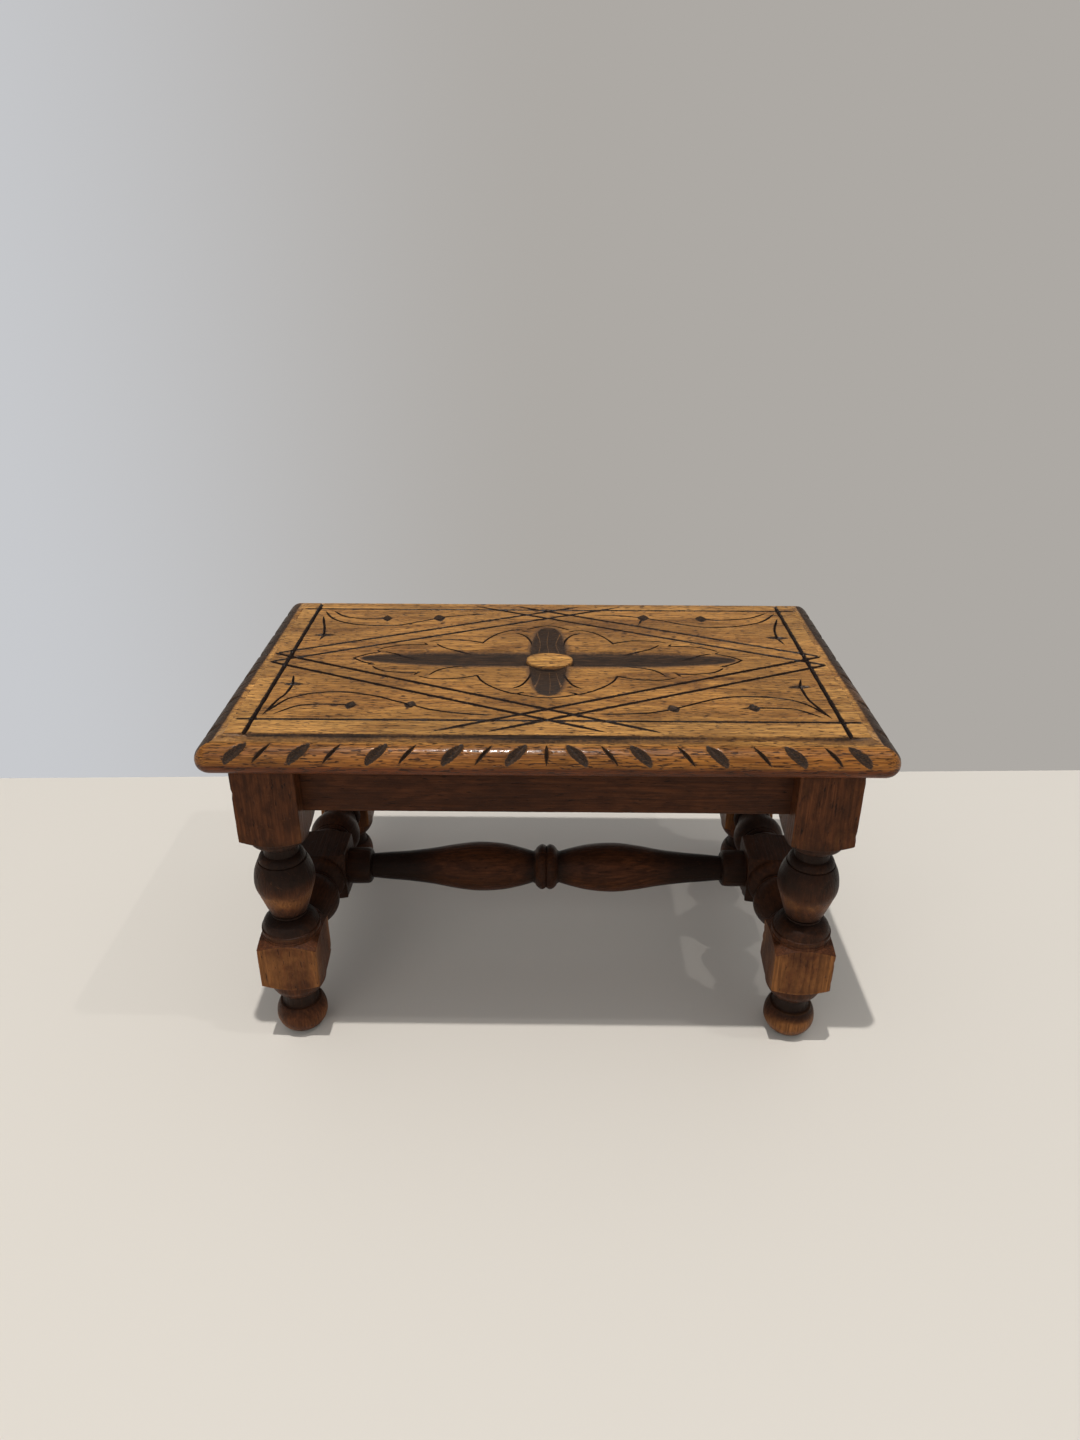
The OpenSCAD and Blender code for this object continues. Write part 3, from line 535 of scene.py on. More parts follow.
# Flourishes in the four corners, from the corner outwards, as carved: (points, taper at both ends).
flourishes = [
    ([(-141, 79), (-133, 69.5), (-126, 66), (-119, 64.3), (-110, 64.2), (-104, 65)], (7, 0)),
    ([(-103, 65), (-98, 66.3)], (0, 4)),
    ([(-146, 78), (-140, 66.5), (-133, 59.5), (-124, 55), (-115, 53), (-105, 52.5), (-96, 53), (-88, 56.5),
      (-80, 61), (-71, 66)], (7, 0)),
    ([(-70, 66.5), (-64, 69.3), (-58, 71), (-48, 73), (-38, 74.5)], (0, 9)),
    ([(-145.5, 69), (-143, 58), (-140.5, 48), (-138.5, 36)], (8, 0)),
    ([(-138, 36), (-139.5, 27)], (0, 6)),
    ([(-147.5, -76), (-144, -58), (-141.5, -50), (-140.5, -38)], (8, 0)),
    ([(-140.5, -38), (-143, -25)], (0, 7)),
    ([(-147.5, -75), (-140, -58), (-134, -52.5), (-127, -49), (-119, -47.2), (-110, -47), (-100, -49.5),
      (-90, -53), (-82, -57.5), (-73, -62)], (8, 0)),
    ([(-72, -62.5), (-60, -68.5), (-44, -72.5), (-27, -74)], (0, 9)),
    ([(-142.5, -75), (-133, -65.5), (-126, -63.2), (-117, -62.5), (-105, -63)], (7, 0)),
    ([(-104, -63), (-99, -63.5)], (0, 3)),
    ([(143, 79), (133, 71), (125, 68), (115, 66), (108, 65.8), (99, 67)], (7, 0)),
    ([(148, 78), (140, 66.5), (133, 60.5), (125, 56.5), (117, 54), (107, 52.8), (98, 53), (90, 55.5),
      (82, 59), (75, 63), (63, 68)], (7, 0)),
    ([(60.5, 69), (48, 72.5), (30, 73.3)], (0, 9)),
    ([(60.5, 66), (57.5, 56.5)], (0, 6)),
    ([(148, 69), (142.5, 50), (141, 36)], (8, 0)),
    ([(141, 35.5), (143.5, 24)], (0, 6)),
    ([(147, -76), (142, -60), (140, -52), (139.3, -37)], (8, 0)),
    ([(139, -37), (142, -26)], (0, 6)),
    ([(145.5, -73), (140, -62), (133, -55), (125, -51.5), (117, -50), (107, -49.5), (98, -50.5), (90, -53),
      (82, -57), (75, -61), (67, -65)], (8, 0)),
    ([(66, -66), (55, -70), (45, -71.5), (27, -72.5)], (0, 9)),
    ([(143, -75), (132, -65.8), (125, -64), (118, -63.5), (109, -63.5)], (7, 0)),
    ([(109, -63.5), (100, -65)], (0, 5)),
]

# Buds and cross bars: centre, half sizes and turn in degrees.
buds = [
    (-103.5, 65.3, 2.9, 5.2, 8), (-70, 66.3, 3.6, 6.0, 12), (-138, 35.8, 6.6, 2.3, 2),
    (-140, -37.2, 5.8, 2.0, 0), (-72.5, -62.3, 3.2, 4.2, -14), (-104, -63.4, 2.9, 4.7, -6),
    (98.5, 67.3, 3.6, 5.5, -4), (61.5, 68.6, 3.6, 5.4, -8), (141, 35.5, 6.6, 2.5, -4),
    (139, -36.8, 6.5, 2.2, 4), (66.5, -65.3, 3.3, 4.5, 18), (109, -63.7, 3.1, 4.6, 8),
]


def carvedLines():
    # every line of the carving as a feature, in the board's own coordinates
    found = []
    place, half, depth, ink = carving["crossGroove"]
    for side in (-1, 1):
        ends = np.array([(side * place, -99), (side * (place - 0.3), 99)])
        found.append(lineFeature(ends, half, depth, straight=True, ink=ink))
    front, back, half, depth, ink = carving["border"]
    for y in (front, back):
        found.append(lineFeature(onBoard([(-161, y), (163, y + 0.4)]), half, depth, (3, 3), True, ink))
    inner, outer, slope, half, depth, ink = carving["lozenge"]
    for sx in (-1, 1):
        for sy, ends in ((-1, (58, 30)), (1, (48, 22))):
            for start, end in zip((inner, outer), ends):
                line = [(-sx * 161, sy * (start - slope * 161)), (sx * end, sy * (start + slope * end))]
                found.append(lineFeature(onBoard(line), half, depth, (3, 12), True, ink))
    for sy, quarter in ((1, "back"), (-1, "front")):
        for sx in (-1, 1):
            for points, taper in leafQuarter[quarter]:
                found.append(lineFeature(onBoard(np.array(points) * [sx, sy]), *carving["leaf"], taper))
    for points, taper in flourishes:
        found.append(lineFeature(onBoard(points), *carving["stem"], taper))
    return found


def ridgePaths():
    return [spline(onBoard(points), 1.2) for points in carving["ridges"]]


def lineDepth(points, feature):
    # depth of a V groove, depth * (1 - distance / half width) at the nearest point of the path; the thin
    # stain, which spreads beyond the shoulders; and the ink, dark stain with painted shade at the bottom, 1
    # at the bottom and 1/2 at the share "ink" of the half width. Points are taken in parts, so that the table
    # of distances stays small
    path, half, depth, spread = feature["path"], feature["half"], feature["depth"], carving["spread"]
    result, stain, ink = np.zeros((3, len(points)))
    margin = half.max() + 1.5
    low, high = path.min(0) - margin, path.max(0) + margin
    near = np.where(((points >= low) & (points <= high)).all(1))[0]
    a, run = path[:-1], np.diff(path, axis=0)
    for part in np.array_split(near, max(1, len(near) * len(a) // 1500000 + 1)):
        p = points[part][:, None, :]
        t = np.clip(((p - a) * run).sum(-1) / (run ** 2).sum(-1), 0, 1)
        away = np.linalg.norm(p - a - run * t[..., None], axis=-1)
        w = half[:-1] + (half[1:] - half[:-1]) * t
        d = depth[:-1] + (depth[1:] - depth[:-1]) * t
        result[part] = (d * np.clip(1 - away / w, 0, 1)).max(1)
        strong = np.clip(d / carving["faint"], 0, 1)
        thin = np.clip((w + spread - away) / (2 * spread), 0, 1)
        stain[part] = carving["spreadStain"] * (thin * strong).max(1)
        bottom = np.where(away < w + 0.2, np.clip(1 - away / (2 * feature["ink"] * w), 0, 1), 0)
        ink[part] = (bottom * strong).max(1)
    return result, stain, ink


def ovalShare(points, oval, power):
    # 0 at the middle of an oval and 1 on its outline, |x/a|^power + |y/b|^power = 1, turned and in its place
    x, y, a, b, turn = oval
    c, s = math.cos(math.radians(turn)), math.sin(math.radians(turn))
    dx, dy = (points - onBoard((x, y))).T
    return (np.abs((dx * c + dy * s) / a) ** power + np.abs((dy * c - dx * s) / b) ** power) ** (1 / power)


def ovalRing(oval, power, share, count):
    # points on the outline of an oval that is share times as large
    x, y, a, b, turn = oval
    c, s = math.cos(math.radians(turn)), math.sin(math.radians(turn))
    way = np.linspace(0, 2 * math.pi, count, endpoint=False)
    dx, dy = (size * share * np.sign(wave) * np.abs(wave) ** (2 / power)
              for size, wave in ((a, np.cos(way)), (b, np.sin(way))))
    return onBoard(np.stack([x + dx * c - dy * s, y + dx * s + dy * c], 1))


def halfWidth(hollow, along, side):
    return np.interp(np.abs(along), hollow["at"], hollow[side])


def dish(hollow, along, s, power):
    # depth of a hollow: across, (1 - s^2)^power with s the distance over the local half width; along, it dies
    # out at the tips
    ends = np.clip(1 - (along / hollow["reach"]) ** 2, 0, 1) ** hollow["tip"]
    return hollow["depth"] * ends * np.clip(1 - s ** 2, 0, 1) ** power


def washIn(hollow, along, s, half, side):
    # dark wash in a hollow: across, 1 up to the share start of the half width, falling to 0 at the share end
    # and a little beyond; along, it fades out at the tips
    start, end, beyond = hollow[side]
    tips = smoothStep(1 - np.abs(along) / (hollow["reach"] + 2), 0, hollow["washFade"])
    return (1 - smoothStep(s, start, end + beyond / half)) * tips


def hollowShare(points):
    # depth of the long and of the cross hollow, with the long one steep at the front and gentle at the back,
    # and the dark wash in both, which fades out beyond the edges
    x, y = (points - onBoard((carving["hollowX"], 0))).T
    h, w = carving["longHollow"], carving["crossHollow"]
    front, back, side = halfWidth(h, x, "front"), halfWidth(h, x, "back"), halfWidth(w, y, "side")
    s = np.where(y < 0, -y / front, y / back)
    wash = np.where(y < 0, washIn(h, x, s, front, "frontWash"), washIn(h, x, s, back, "backWash"))
    long = dish(h, x, s, np.where(y < 0, h["frontPower"], h["backPower"]))
    s = np.abs(x) / side
    return long, dish(w, y, s, w["power"]), np.maximum(wash, washIn(w, y, s, side, "sideWash"))


def fieldSurface(points, lines):
    # depth of the carved face below its plane, stain, and ink with painted shade there: the deepest of all
    # the cuts at each point
    depth, stain, ink = np.zeros((3, len(points)))
    for feature in lines:
        depth, stain, ink = np.maximum((depth, stain, ink), lineDepth(points, feature))
    for bud in buds:
        share = 1 - ovalShare(points, bud, carving["budPower"])
        depth = np.maximum(depth, carving["budDepth"] * np.clip(share * 1.6, 0, 1) ** 0.7)
        stain = np.maximum(stain, smoothStep(share, -0.12, 0.1))
    long, cross, hollowStain = hollowShare(points)
    boss = ovalShare(points, carving["boss"], carving["bossPower"])
    clear = smoothStep(boss, 1.0, 1.055)
    hollow = np.maximum(long, cross) * clear
    ridge = np.zeros(len(points))
    for path in ridgePaths():
        half = np.full(len(path), carving["ridgeHalf"])
        feature = {"path": path, "half": half, "depth": np.ones(len(path)), "ink": 1.0}
        ridge = np.maximum(ridge, lineDepth(points, feature)[0])
    ridge = ridge * (cross > 0.4) * clear
    smudge = carving["smudge"] * (1 - smoothStep(boss, *carving["smudgeReach"])) * clear
    stain = np.maximum(np.maximum(stain, smudge), hollowStain * clear) - carving["ridgeClean"] * ridge
    depth = np.maximum(depth, hollow) - carving["ridgeHeight"] * ridge
    wave = carving["unevenFace"] * softNoise(points * [0.5, 1], 0.09, 5) * (hollow < 0.05)
    return depth - wave, np.clip(stain, 0, 1), ink


class PointCloud:
    # gathers points of the field and the edges that its triangles have to keep
    def __init__(self):
        self.points, self.edges, self.count = [], [], 0

    def add(self, points, closed=False, keep=True, margin=0.45):
        # a row of points, without those outside the field; where keep is set, edges join the neighbours
        ok = (np.abs(points) < [stoolSizes["fieldX"] - margin, stoolSizes["fieldY"] - margin]).all(1)
        number = np.cumsum(ok) - 1 + self.count
        if keep:
            here = np.arange(len(points))
            pairs = np.stack([here, np.roll(here, -1)], 1)[:None if closed else -1]
            self.edges.append(number[pairs[ok[pairs].all(1)]])
        self.points.append(points[ok])
        self.count += int(ok.sum())


def triangulated(loop, inner, edges=()):
    # constrained Delaunay triangles of a closed outline and of the points in it. It gives back the points,
    # with the outline's exactly in place, the triangles, and each point's number in the outline or -1
    number = len(loop)
    here = np.arange(number)
    edges = [np.stack([here, np.roll(here, -1)], 1)] + [pairs + number for pairs in edges if len(pairs)]
    vectors = [Vector(p) for p in np.vstack([loop] + inner).tolist()]
    out = delaunay_2d_cdt(vectors, np.vstack(edges).tolist(), [], 0, 1e-3)
    was = np.array([min([k for k in ids if k < number], default=-1) for ids in out[3]])
    points = np.array([tuple(p) for p in out[0]])
    points[was >= 0] = loop[was[was >= 0]]
    return points, np.array(out[2]), was


def looseGrid(reachX, reachY, stepX, stepY):
    # even rows of points round the middle
    gx, gy = np.meshgrid(np.arange(-reachX, reachX + 1, stepX), np.arange(-reachY, reachY + 1, stepY))
    return np.stack([gx.ravel(), gy.ravel()], 1)


def fieldTriangles(loop, lines):
    # triangles of the field: rows of points along every cut, and a loose grid between
    cloud = PointCloud()
    for feature in lines:
        path, half = feature["path"], feature["half"][:, None]
        run = np.gradient(path, axis=0)
        normal = np.stack([-run[:, 1], run[:, 0]], 1) / np.linalg.norm(run, axis=1)[:, None]
        cloud.add(path)
        for side in (-1, 1):
            cloud.add(path + side * normal * half)
            cloud.add(path + side * normal * half * 0.55, keep=False)
            cloud.add(path + side * normal * (half + 0.45), keep=False)
    for bud in buds:
        for share in (1.12, 1.0, 0.82, 0.45):
            cloud.add(ovalRing(bud, carving["budPower"], share, 22), closed=True, keep=share == 1.0)
    for name, count, power, shares in (
            ("longHollow", 151, 1.25, (-1, -0.985, -0.93, -0.82, -0.6, -0.3, 0, 0.3, 0.55, 0.75, 0.9, 1)),
            ("crossHollow", 75, 1.35, (-1, -0.97, -0.88, -0.7, -0.4, 0, 0.4, 0.7, 0.88, 0.97, 1))):
        h, w = carving[name], np.linspace(-1, 1, count)
        along = np.sign(w) * h["reach"] * (1 - (1 - np.abs(w)) ** power)  # closer together towards the tips
        for s in shares:
            if name == "longHollow":
                x, y = along, s * halfWidth(h, along, "front" if s < 0 else "back")
            else:
                x, y = s * halfWidth(h, along, "side"), along
            cloud.add(onBoard(np.stack([x + carving["hollowX"], y], 1)), keep=abs(s) == 1)
    for path in ridgePaths():
        cloud.add(path)
        for side in (-0.8, -0.4, 0.4, 0.8):
            cloud.add(path + [side, 0], keep=False)
    for share in (0.55, 0.9, 0.985, 1.0, 1.03, 1.055, 1.14):
        ring = ovalRing(carving["boss"], carving["bossPower"], share, 96)
        cloud.add(ring, closed=True, keep=share in (1.0, 1.055))
    cloud.add(looseGrid(160, 90, 3.2, 3.2) + 0.013, keep=False)
    return triangulated(loop, cloud.points, cloud.edges)


def edgePlan(u, q):
    # stations along the four sides and round the corners: where each row of the moulding lies in plan,
    # sheared by the lean of the gouges and mitred at the corners; which way is out; and how far into a corner
    # it is. beyond is from the field's corner to the centre of the board's corner
    e, beyond = topEdge, stoolSizes["moulding"] - stoolSizes["corner"]
    tan = math.tan(math.radians(e["lean"]))
    plan, away, fade = [], [], []
    for along, out, half, offset, broad, narrow, crossings in boardSides():
        x = edgeStations(half, broad, narrow, crossings)
        shear = 1 - smoothStep(np.abs(x), half - e["leanEnd"], half - 1)
        shear = tan * np.clip(x / e["leanFrom"], -1, 1) * shear
        mitre = smoothStep(np.abs(x), half - e["mitreFrom"], half)[:, None]
        mitre = np.minimum(u, beyond) * np.sign(x)[:, None] * mitre
        xx = x[:, None] + shear[:, None] * q + mitre
        turn = (np.linspace(0, 1, 15)[1:-1] * math.pi / 2)[:, None]
        ways = out * np.cos(turn) + along * np.sin(turn)
        middle = along * half + out * offset + (along + out) * np.minimum(u, beyond)[:, None]
        plan += [along * xx[..., None] + out * (offset + u)[None, :, None],
                 middle + ways[:, None, :] * np.maximum(u - beyond, 0)[None, :, None]]
        away += [np.broadcast_to(out, (len(x), 2)), ways]
        fade += [smoothStep(np.abs(x), half - e["fadeFrom"], half), np.ones(len(turn))]
    return np.vstack(plan), np.vstack(away), np.concatenate(fade)


def gougeTools():
    # straight tools laid across the nose, their tops leaning to the middle; their section is the hyperbola
    # (y + c)^2 = steep x^2 + c^2, a V with a rounded bottom
    e = topEdge
    slant, radius = math.radians(e["lean"]), e["upperRadius"]
    tools = []
    for along, out, _, offset, broad, narrow, _ in boardSides():
        out3, along3 = np.append(out, 0), np.append(along, 0)
        face, down = np.append(out, 1) / math.sqrt(2), np.append(out, -1) / math.sqrt(2)
        for centres, width, deep, c in ((broad, e["broadWidth"], e["broadDepth"], e["broadRound"]),
                                        ([0] + narrow, e["narrowWidth"], e["narrowDepth"], e["narrowRound"])):
            steep = ((deep + c) ** 2 - c ** 2) / (width / 2) ** 2
            for centre in centres:
                for sign in ((-1, 1) if centre else (0,)):
                    across = along3 * math.cos(slant * sign) - down * math.sin(slant * sign)
                    core = along3 * sign * centre + out3 * (offset + e["quirkWidth"])
                    core[2] = stoolSizes["thickness"] - e["quirkDrop"] - radius
                    tools.append((core + face * (radius - deep), across, face, steep, c))
    return tools


def noseRadius(centre, ray, tools):
    # radius that the tools leave on the nose: along the ray from the arc's centre, the nearest meeting with
    # the surface of a tool, which is a root of a quadratic equation
    e, radius = topEdge, topEdge["upperRadius"]
    best = np.full(len(ray), radius)
    for bottom, across, face, steep, c in tools:
        w = centre - bottom
        near = np.linalg.norm(w, axis=1) < e["toolReach"]
        w, d = w[near], ray[near]
        y, yRise, x, xRise = w @ face + c, d @ face, w @ across, d @ across
        a = yRise ** 2 - steep * xRise ** 2
        b = y * yRise - steep * x * xRise
        inside = b * b - a * (y ** 2 - steep * x ** 2 - c ** 2)
        root = (-b + np.sqrt(np.maximum(inside, 0))) / np.maximum(a, 1e-6)
        hit = (a > 0.02) & (inside > 0) & (root > radius - e["deepest"]) & (root < radius)
        best[near] = np.where(hit, np.minimum(best[near], root), best[near])
    return best


def topBoard():
    # one closed skin: carved field, moulded and gouged edge carried round it, and the plain underside
    s, e, look = stoolSizes, topEdge, topStain
    u, v, q, arc = mouldingRows()
    plan, away, fade = edgePlan(u, q)
    stations, rows = plan.shape[:2]
    loop, thick, lines, tools = plan[:, 0].copy(), s["thickness"], carvedLines(), gougeTools()

    # the quirk fades into a rounded fall at the corners
    rounded = np.where(u < e["quirkWidth"] - 0.01, e["quirkDrop"] * (u / e["quirkWidth"]) ** 1.7, v)
    z = thick - v - (rounded - v) * (fade * e["quirkFade"])[:, None]
    cut = np.zeros((stations, rows))
    low = np.full(stations, thick - e["quirkDrop"] - e["upperRadius"])
    for j in np.where(~np.isnan(arc))[0]:
        ray = np.column_stack([away * math.sin(arc[j]), np.full(stations, math.cos(arc[j]))])
        centre = np.column_stack([plan[:, j] - away * e["upperRadius"] * math.sin(arc[j]), low])
        cut[:, j] = e["upperRadius"] - noseRadius(centre, ray, tools)
        plan[:, j] -= away * (cut[:, j] * math.sin(arc[j]))[:, None]
        z[:, j] -= cut[:, j] * math.cos(arc[j])
    loopDepth, _, loopInkAndShade = fieldSurface(loop, lines)
    for j in range(4):
        z[:, j] = np.minimum(z[:, j], thick - np.maximum(loopDepth, 0) - 0.02 * j)
    band = np.concatenate([plan, z[..., None]], -1).reshape(-1, 3)
    number = np.arange(stations * rows).reshape(stations, rows)
    after = np.roll(number, -1, 0)
    bandFaces = np.stack([number[:, :-1], number[:, 1:], after[:, 1:], after[:, :-1]], -1).reshape(-1, 4)
    wave = softNoise(band * [0.4, 0.4, 1], 0.12, 9)
    outward = np.column_stack([np.repeat(away, rows, 0), np.zeros(len(band))])
    onNose = np.tile((u > 7) & (v < thick - 1), stations)
    band -= outward * (e["uneven"] * (1 + wave) * onNose)[:, None]

    # stain of the edge: the quirk, with painted shade as a thin dark line at the foot of its step, the
    # gouges, and the ends, whose end grain has drunk more of it
    uu, vv, cut = np.tile(u, stations), np.tile(v, stations), cut.reshape(-1)
    isEnd = smoothStep(np.abs(outward[:, 0]), 0.72, 0.99)
    # painted shade with stain: a thin dark line at the foot of the step
    wall = look["quirkWallStainAndShade"] * (1 - smoothStep(uu, 0.5, 1.0)) * (1 - 0.6 * np.repeat(fade, rows))
    hollow = look["quirk"] * (1 - smoothStep(uu, 4.0, 6.5)) * (1 + look["quirkVaries"] * wave)
    quirkStain = smoothStep(uu, 0.05, 0.3) * (wall + hollow) * (vv < 6)
    quirkStain = quirkStain * (1 - (1 - look["quirkAtEnds"]) * isEnd)
    endGrain = isEnd * (look["endGrain"] + look["endGrainVaries"] * wave)
    endGrain = endGrain * smoothStep(uu, *look["endGrainFrom"])
    endGrain = endGrain * (1 - 0.5 * smoothStep(vv, *look["endGrainFade"]))
    bandStain = np.maximum(np.maximum(quirkStain, smoothStep(cut, 0.05, 0.35)), endGrain)
    shine = np.tile(np.nan_to_num(np.exp(-((arc - look["shineAt"]) / look["shineReach"]) ** 2)), stations)

    flat, triangles, was = fieldTriangles(loop, lines)
    depth, stain, ink = fieldSurface(flat, lines)
    field = np.column_stack([flat, thick - np.maximum(depth, 0)])
    field[was >= 0] = band[number[was[was >= 0], 0]]
    front, back = (carving["border"][k] + carving["shift"] for k in (0, 1))
    inside = smoothStep(carving["crossGroove"][0] - np.abs(flat[:, 0]), -0.5, 0.5)
    inside *= smoothStep(flat[:, 1] - front, -0.5, 0.5) * smoothStep(back - flat[:, 1], -0.5, 0.5)
    boss = smoothStep(ovalShare(flat, carving["boss"], carving["bossPower"]), 0.9, 1.05)

    under, underTriangles, _ = triangulated(band[number[:, -1], :2], [looseGrid(150, 87, 12.5, 12.4)])
    under = np.column_stack([under, np.zeros(len(under))])
    points = np.vstack([band, field, under]) + [0, 0, s["height"] - thick]
    faces = [bandFaces, triangles + len(band), underTriangles[:, ::-1] + len(band) + len(field)]
    marks = {"stain": (bandStain, stain, 0),
             "wash": (0, inside * (1.5 * boss - 0.5), 0),
             "polish": (np.where(cut > 0.05, 0, shine * (1 - 0.8 * isEnd)), look["fieldShine"], 0),
             "ink": (np.where(uu < 0.01, np.repeat(loopInkAndShade, rows), 0), ink, 0),
             "tone": (0.34 * smoothStep(uu, 3, 9) + 0.66 * smoothStep(vv, 9.5, 14.5), 0, 1)}
    counts = (len(band), len(field), len(under))
    marks = {name: np.concatenate([np.broadcast_to(values, count) for values, count in zip(parts, counts)])
             for name, parts in marks.items()}
    return makePiece("topBoard", points, faces, marks, 33)


top = topBoard()
print("top board made")


def fromScreen(r, g, b):
    # a colour as seen on screen, 0 to 255, as the linear colour that shaders use
    c = np.array([r, g, b]) / 255
    linear = np.where(c <= 0.04045, c / 12.92, ((c + 0.055) / 1.055) ** 2.4)
    return (*linear.tolist(), 1.0)


def fill(node, inputs):
    # sets inputs of a node, each from a number, a colour or a Wire
    for key, value in inputs.items():
        if isinstance(value, Wire):
            value.to(node.inputs[key])
        else:
            node.inputs[key].default_value = value


def addNode(tree, kind, inputs=None, **settings):
    made = tree.nodes.new("ShaderNode" + kind)
    for key, value in settings.items():
        setattr(made, key, value)
    fill(made, inputs or {})
    return made


def wiresOf(node):
    # every output of a node by its name
    return {socket.name: Wire(socket) for socket in node.outputs if socket.name}


def source(tree, kind, name, inputs=None, **settings):
    # the output of that name of a new node
    return wiresOf(addNode(tree, kind, inputs, **settings))[name]


class Wire:
    # the output of a node; what is worked out from it adds nodes to its tree
    def __init__(self, socket):
        self.socket, self.tree = socket, socket.id_data

    def to(self, socket):
        self.tree.links.new(self.socket, socket)

    def made(self, out, kind, inputs, **settings):
        return Wire(addNode(self.tree, kind, inputs, **settings).outputs[out])

    def maths(self, operation, a, b=0.0, clamp=False):
        return self.made(0, "Math", {0: a, 1: b}, operation=operation, use_clamp=clamp)

    def __add__(self, other):
        return self.maths("ADD", self, other)

    def __sub__(self, other):
        return self.maths("SUBTRACT", self, other)

    def __rsub__(self, other):
        return self.maths("SUBTRACT", other, self)

    def __mul__(self, other):
        return self.maths("MULTIPLY", self, other)

    def __truediv__(self, other):
        return self.maths("DIVIDE", self, other)

    def around(self, strength):
        # a value from 0 to 1 made to swing round 0
        return (self - 0.5) * strength

    def ramp(self, low, high, outLow=0.0, outHigh=1.0):
        # smooth step between low and high
        inputs = {"Value": self, "From Min": low, "From Max": high, "To Min": outLow, "To Max": outHigh}
        return self.made(0, "MapRange", inputs, interpolation_type="SMOOTHSTEP")

    def vector(self, operation, other=(0, 0, 0), out=0):
        return self.made(out, "VectorMath", {0: self, 1: other}, operation=operation)

    def noise(self, stretch, detail=2.0, roughness=0.5, distortion=0.0):
        # noise at this place, which is multiplied by stretch first
        inputs = {"Vector": self.vector("MULTIPLY", stretch), "Scale": 1.0, "Detail": detail,
                  "Roughness": roughness, "Distortion": distortion}
        return self.made(0, "TexNoise", inputs)

    def between(self, a, b):
        # colour a where this is 0, colour b where it is 1
        return self.made(2, "Mix", {0: self, 6: a, 7: b}, data_type="RGBA")

    def tinted(self, tint):
        # this colour multiplied by another
        return self.made(2, "Mix", {0: 1.0, 6: self, 7: tint}, data_type="RGBA", blend_type="MULTIPLY")


def newGroup(name, inputs, outputs):
    # a node group with its inputs, given as (name, kind, value), and its outputs, which are numbers
    group = bpy.data.node_groups.new(name, "ShaderNodeTree")
    for label, kind, value in inputs:
        socket = group.interface.new_socket(label, in_out="INPUT", socket_type="NodeSocket" + kind)
        socket.default_value = value
    for label in outputs:
        group.interface.new_socket(label, in_out="OUTPUT", socket_type="NodeSocketFloat")
    return group, wiresOf(group.nodes.new("NodeGroupInput")), group.nodes.new("NodeGroupOutput").inputs


grainLook = {
    "bend": 34.0, "fineBend": 3.0,  # how far the rings wander, millimetres
    "lateWood": (0.25, 0.86), "ringEnd": (1.0, 0.88),  # where a ring grows dark, and how fast it ends
    "streaks": (0.38, 0.64), "patches": (0.30, 0.70),
    "poreLevel": 0.74, "morePores": 0.17, "lateLevel": 0.035, "poreEdge": 14.0,
}


def grainGroup():
    # wood with its grain along Z, in millimetres: yearly rings round a far pith, streaks and open pores
    look = grainLook
    group, given, result = newGroup(
        "woodGrain", [("Place", "Vector", (0, 0, 0)), ("Pith", "Vector", (60, 40, 0)), ("Ring", "Float", 3.2),
                      ("Pores", "Float", 0.5)], ["Rings", "Streaks", "Pores", "Patches"])
    place = given["Place"]
    away = place.vector("SUBTRACT", given["Pith"]).vector("MULTIPLY", (1, 1, 0)).vector("LENGTH", out=1)
    bend = place.noise((0.022, 0.022, 0.0045)).around(look["bend"])
    fine = place.noise((0.16, 0.16, 0.012), 3, 0.6)
    turn = (away + bend + fine * look["fineBend"]) / given["Ring"]
    saw = turn.maths("FRACT", turn)
    late = saw.ramp(*look["lateWood"]) * saw.ramp(*look["ringEnd"])
    varied = place.noise((0.05, 0.05, 0.006)).ramp(0.3, 0.62, 0.25, 1.0)
    (late * varied).to(result["Rings"])
    place.noise((0.9, 0.9, 0.03), 4, 0.65).ramp(*look["streaks"]).to(result["Streaks"])
    level = look["poreLevel"] - given["Pores"] * look["morePores"] - late * look["lateLevel"]
    pore = place.noise((1.15, 1.15, 0.2), 1.5, 0.55) - level
    pore.maths("MULTIPLY", pore, look["poreEdge"], clamp=True).to(result["Pores"])
    place.noise((0.03, 0.03, 0.014), 3, 0.55).ramp(*look["patches"]).to(result["Patches"])
    return group


wearLook = {
    "blotches": 1.1, "specks": 0.55, "streaks": 0.3,  # how strongly each breaks up the wear
    "rubbed": (0.25, 1.05), "scratches": (0.63, 0.72),
}


def wearGroup():
    # share of finish rubbed away: the piece's own mark, broken up by noise so that it looks handled
    look = wearLook
    group, given, result = newGroup(
        "handledWear", [("Place", "Vector", (0, 0, 0)), ("Mark", "Float", 0.0), ("Streaks", "Float", 0.5),
                        ("Amount", "Float", 1.0)], ["Worn", "Scratches"])
    place = given["Place"]
    share = given["Mark"] + place.noise((0.07, 0.07, 0.05), 3, 0.6).around(look["blotches"])
    share = share + place.noise((0.45, 0.45, 0.3), 4, 0.65).around(look["specks"])
    share = share + given["Streaks"].around(look["streaks"])
    (share.ramp(*look["rubbed"]) * given["Amount"]).to(result["Worn"])
    place.noise((0.35, 2.6, 0.5), 2, 0.6, 0.6).ramp(*look["scratches"]).to(result["Scratches"])
    return group


woodGrain = grainGroup()
handledWear = wearGroup()


def newTree(owner):
    # the emptied node tree of a material or world
    owner.use_nodes = True
    owner.node_tree.nodes.clear()
    return owner.node_tree


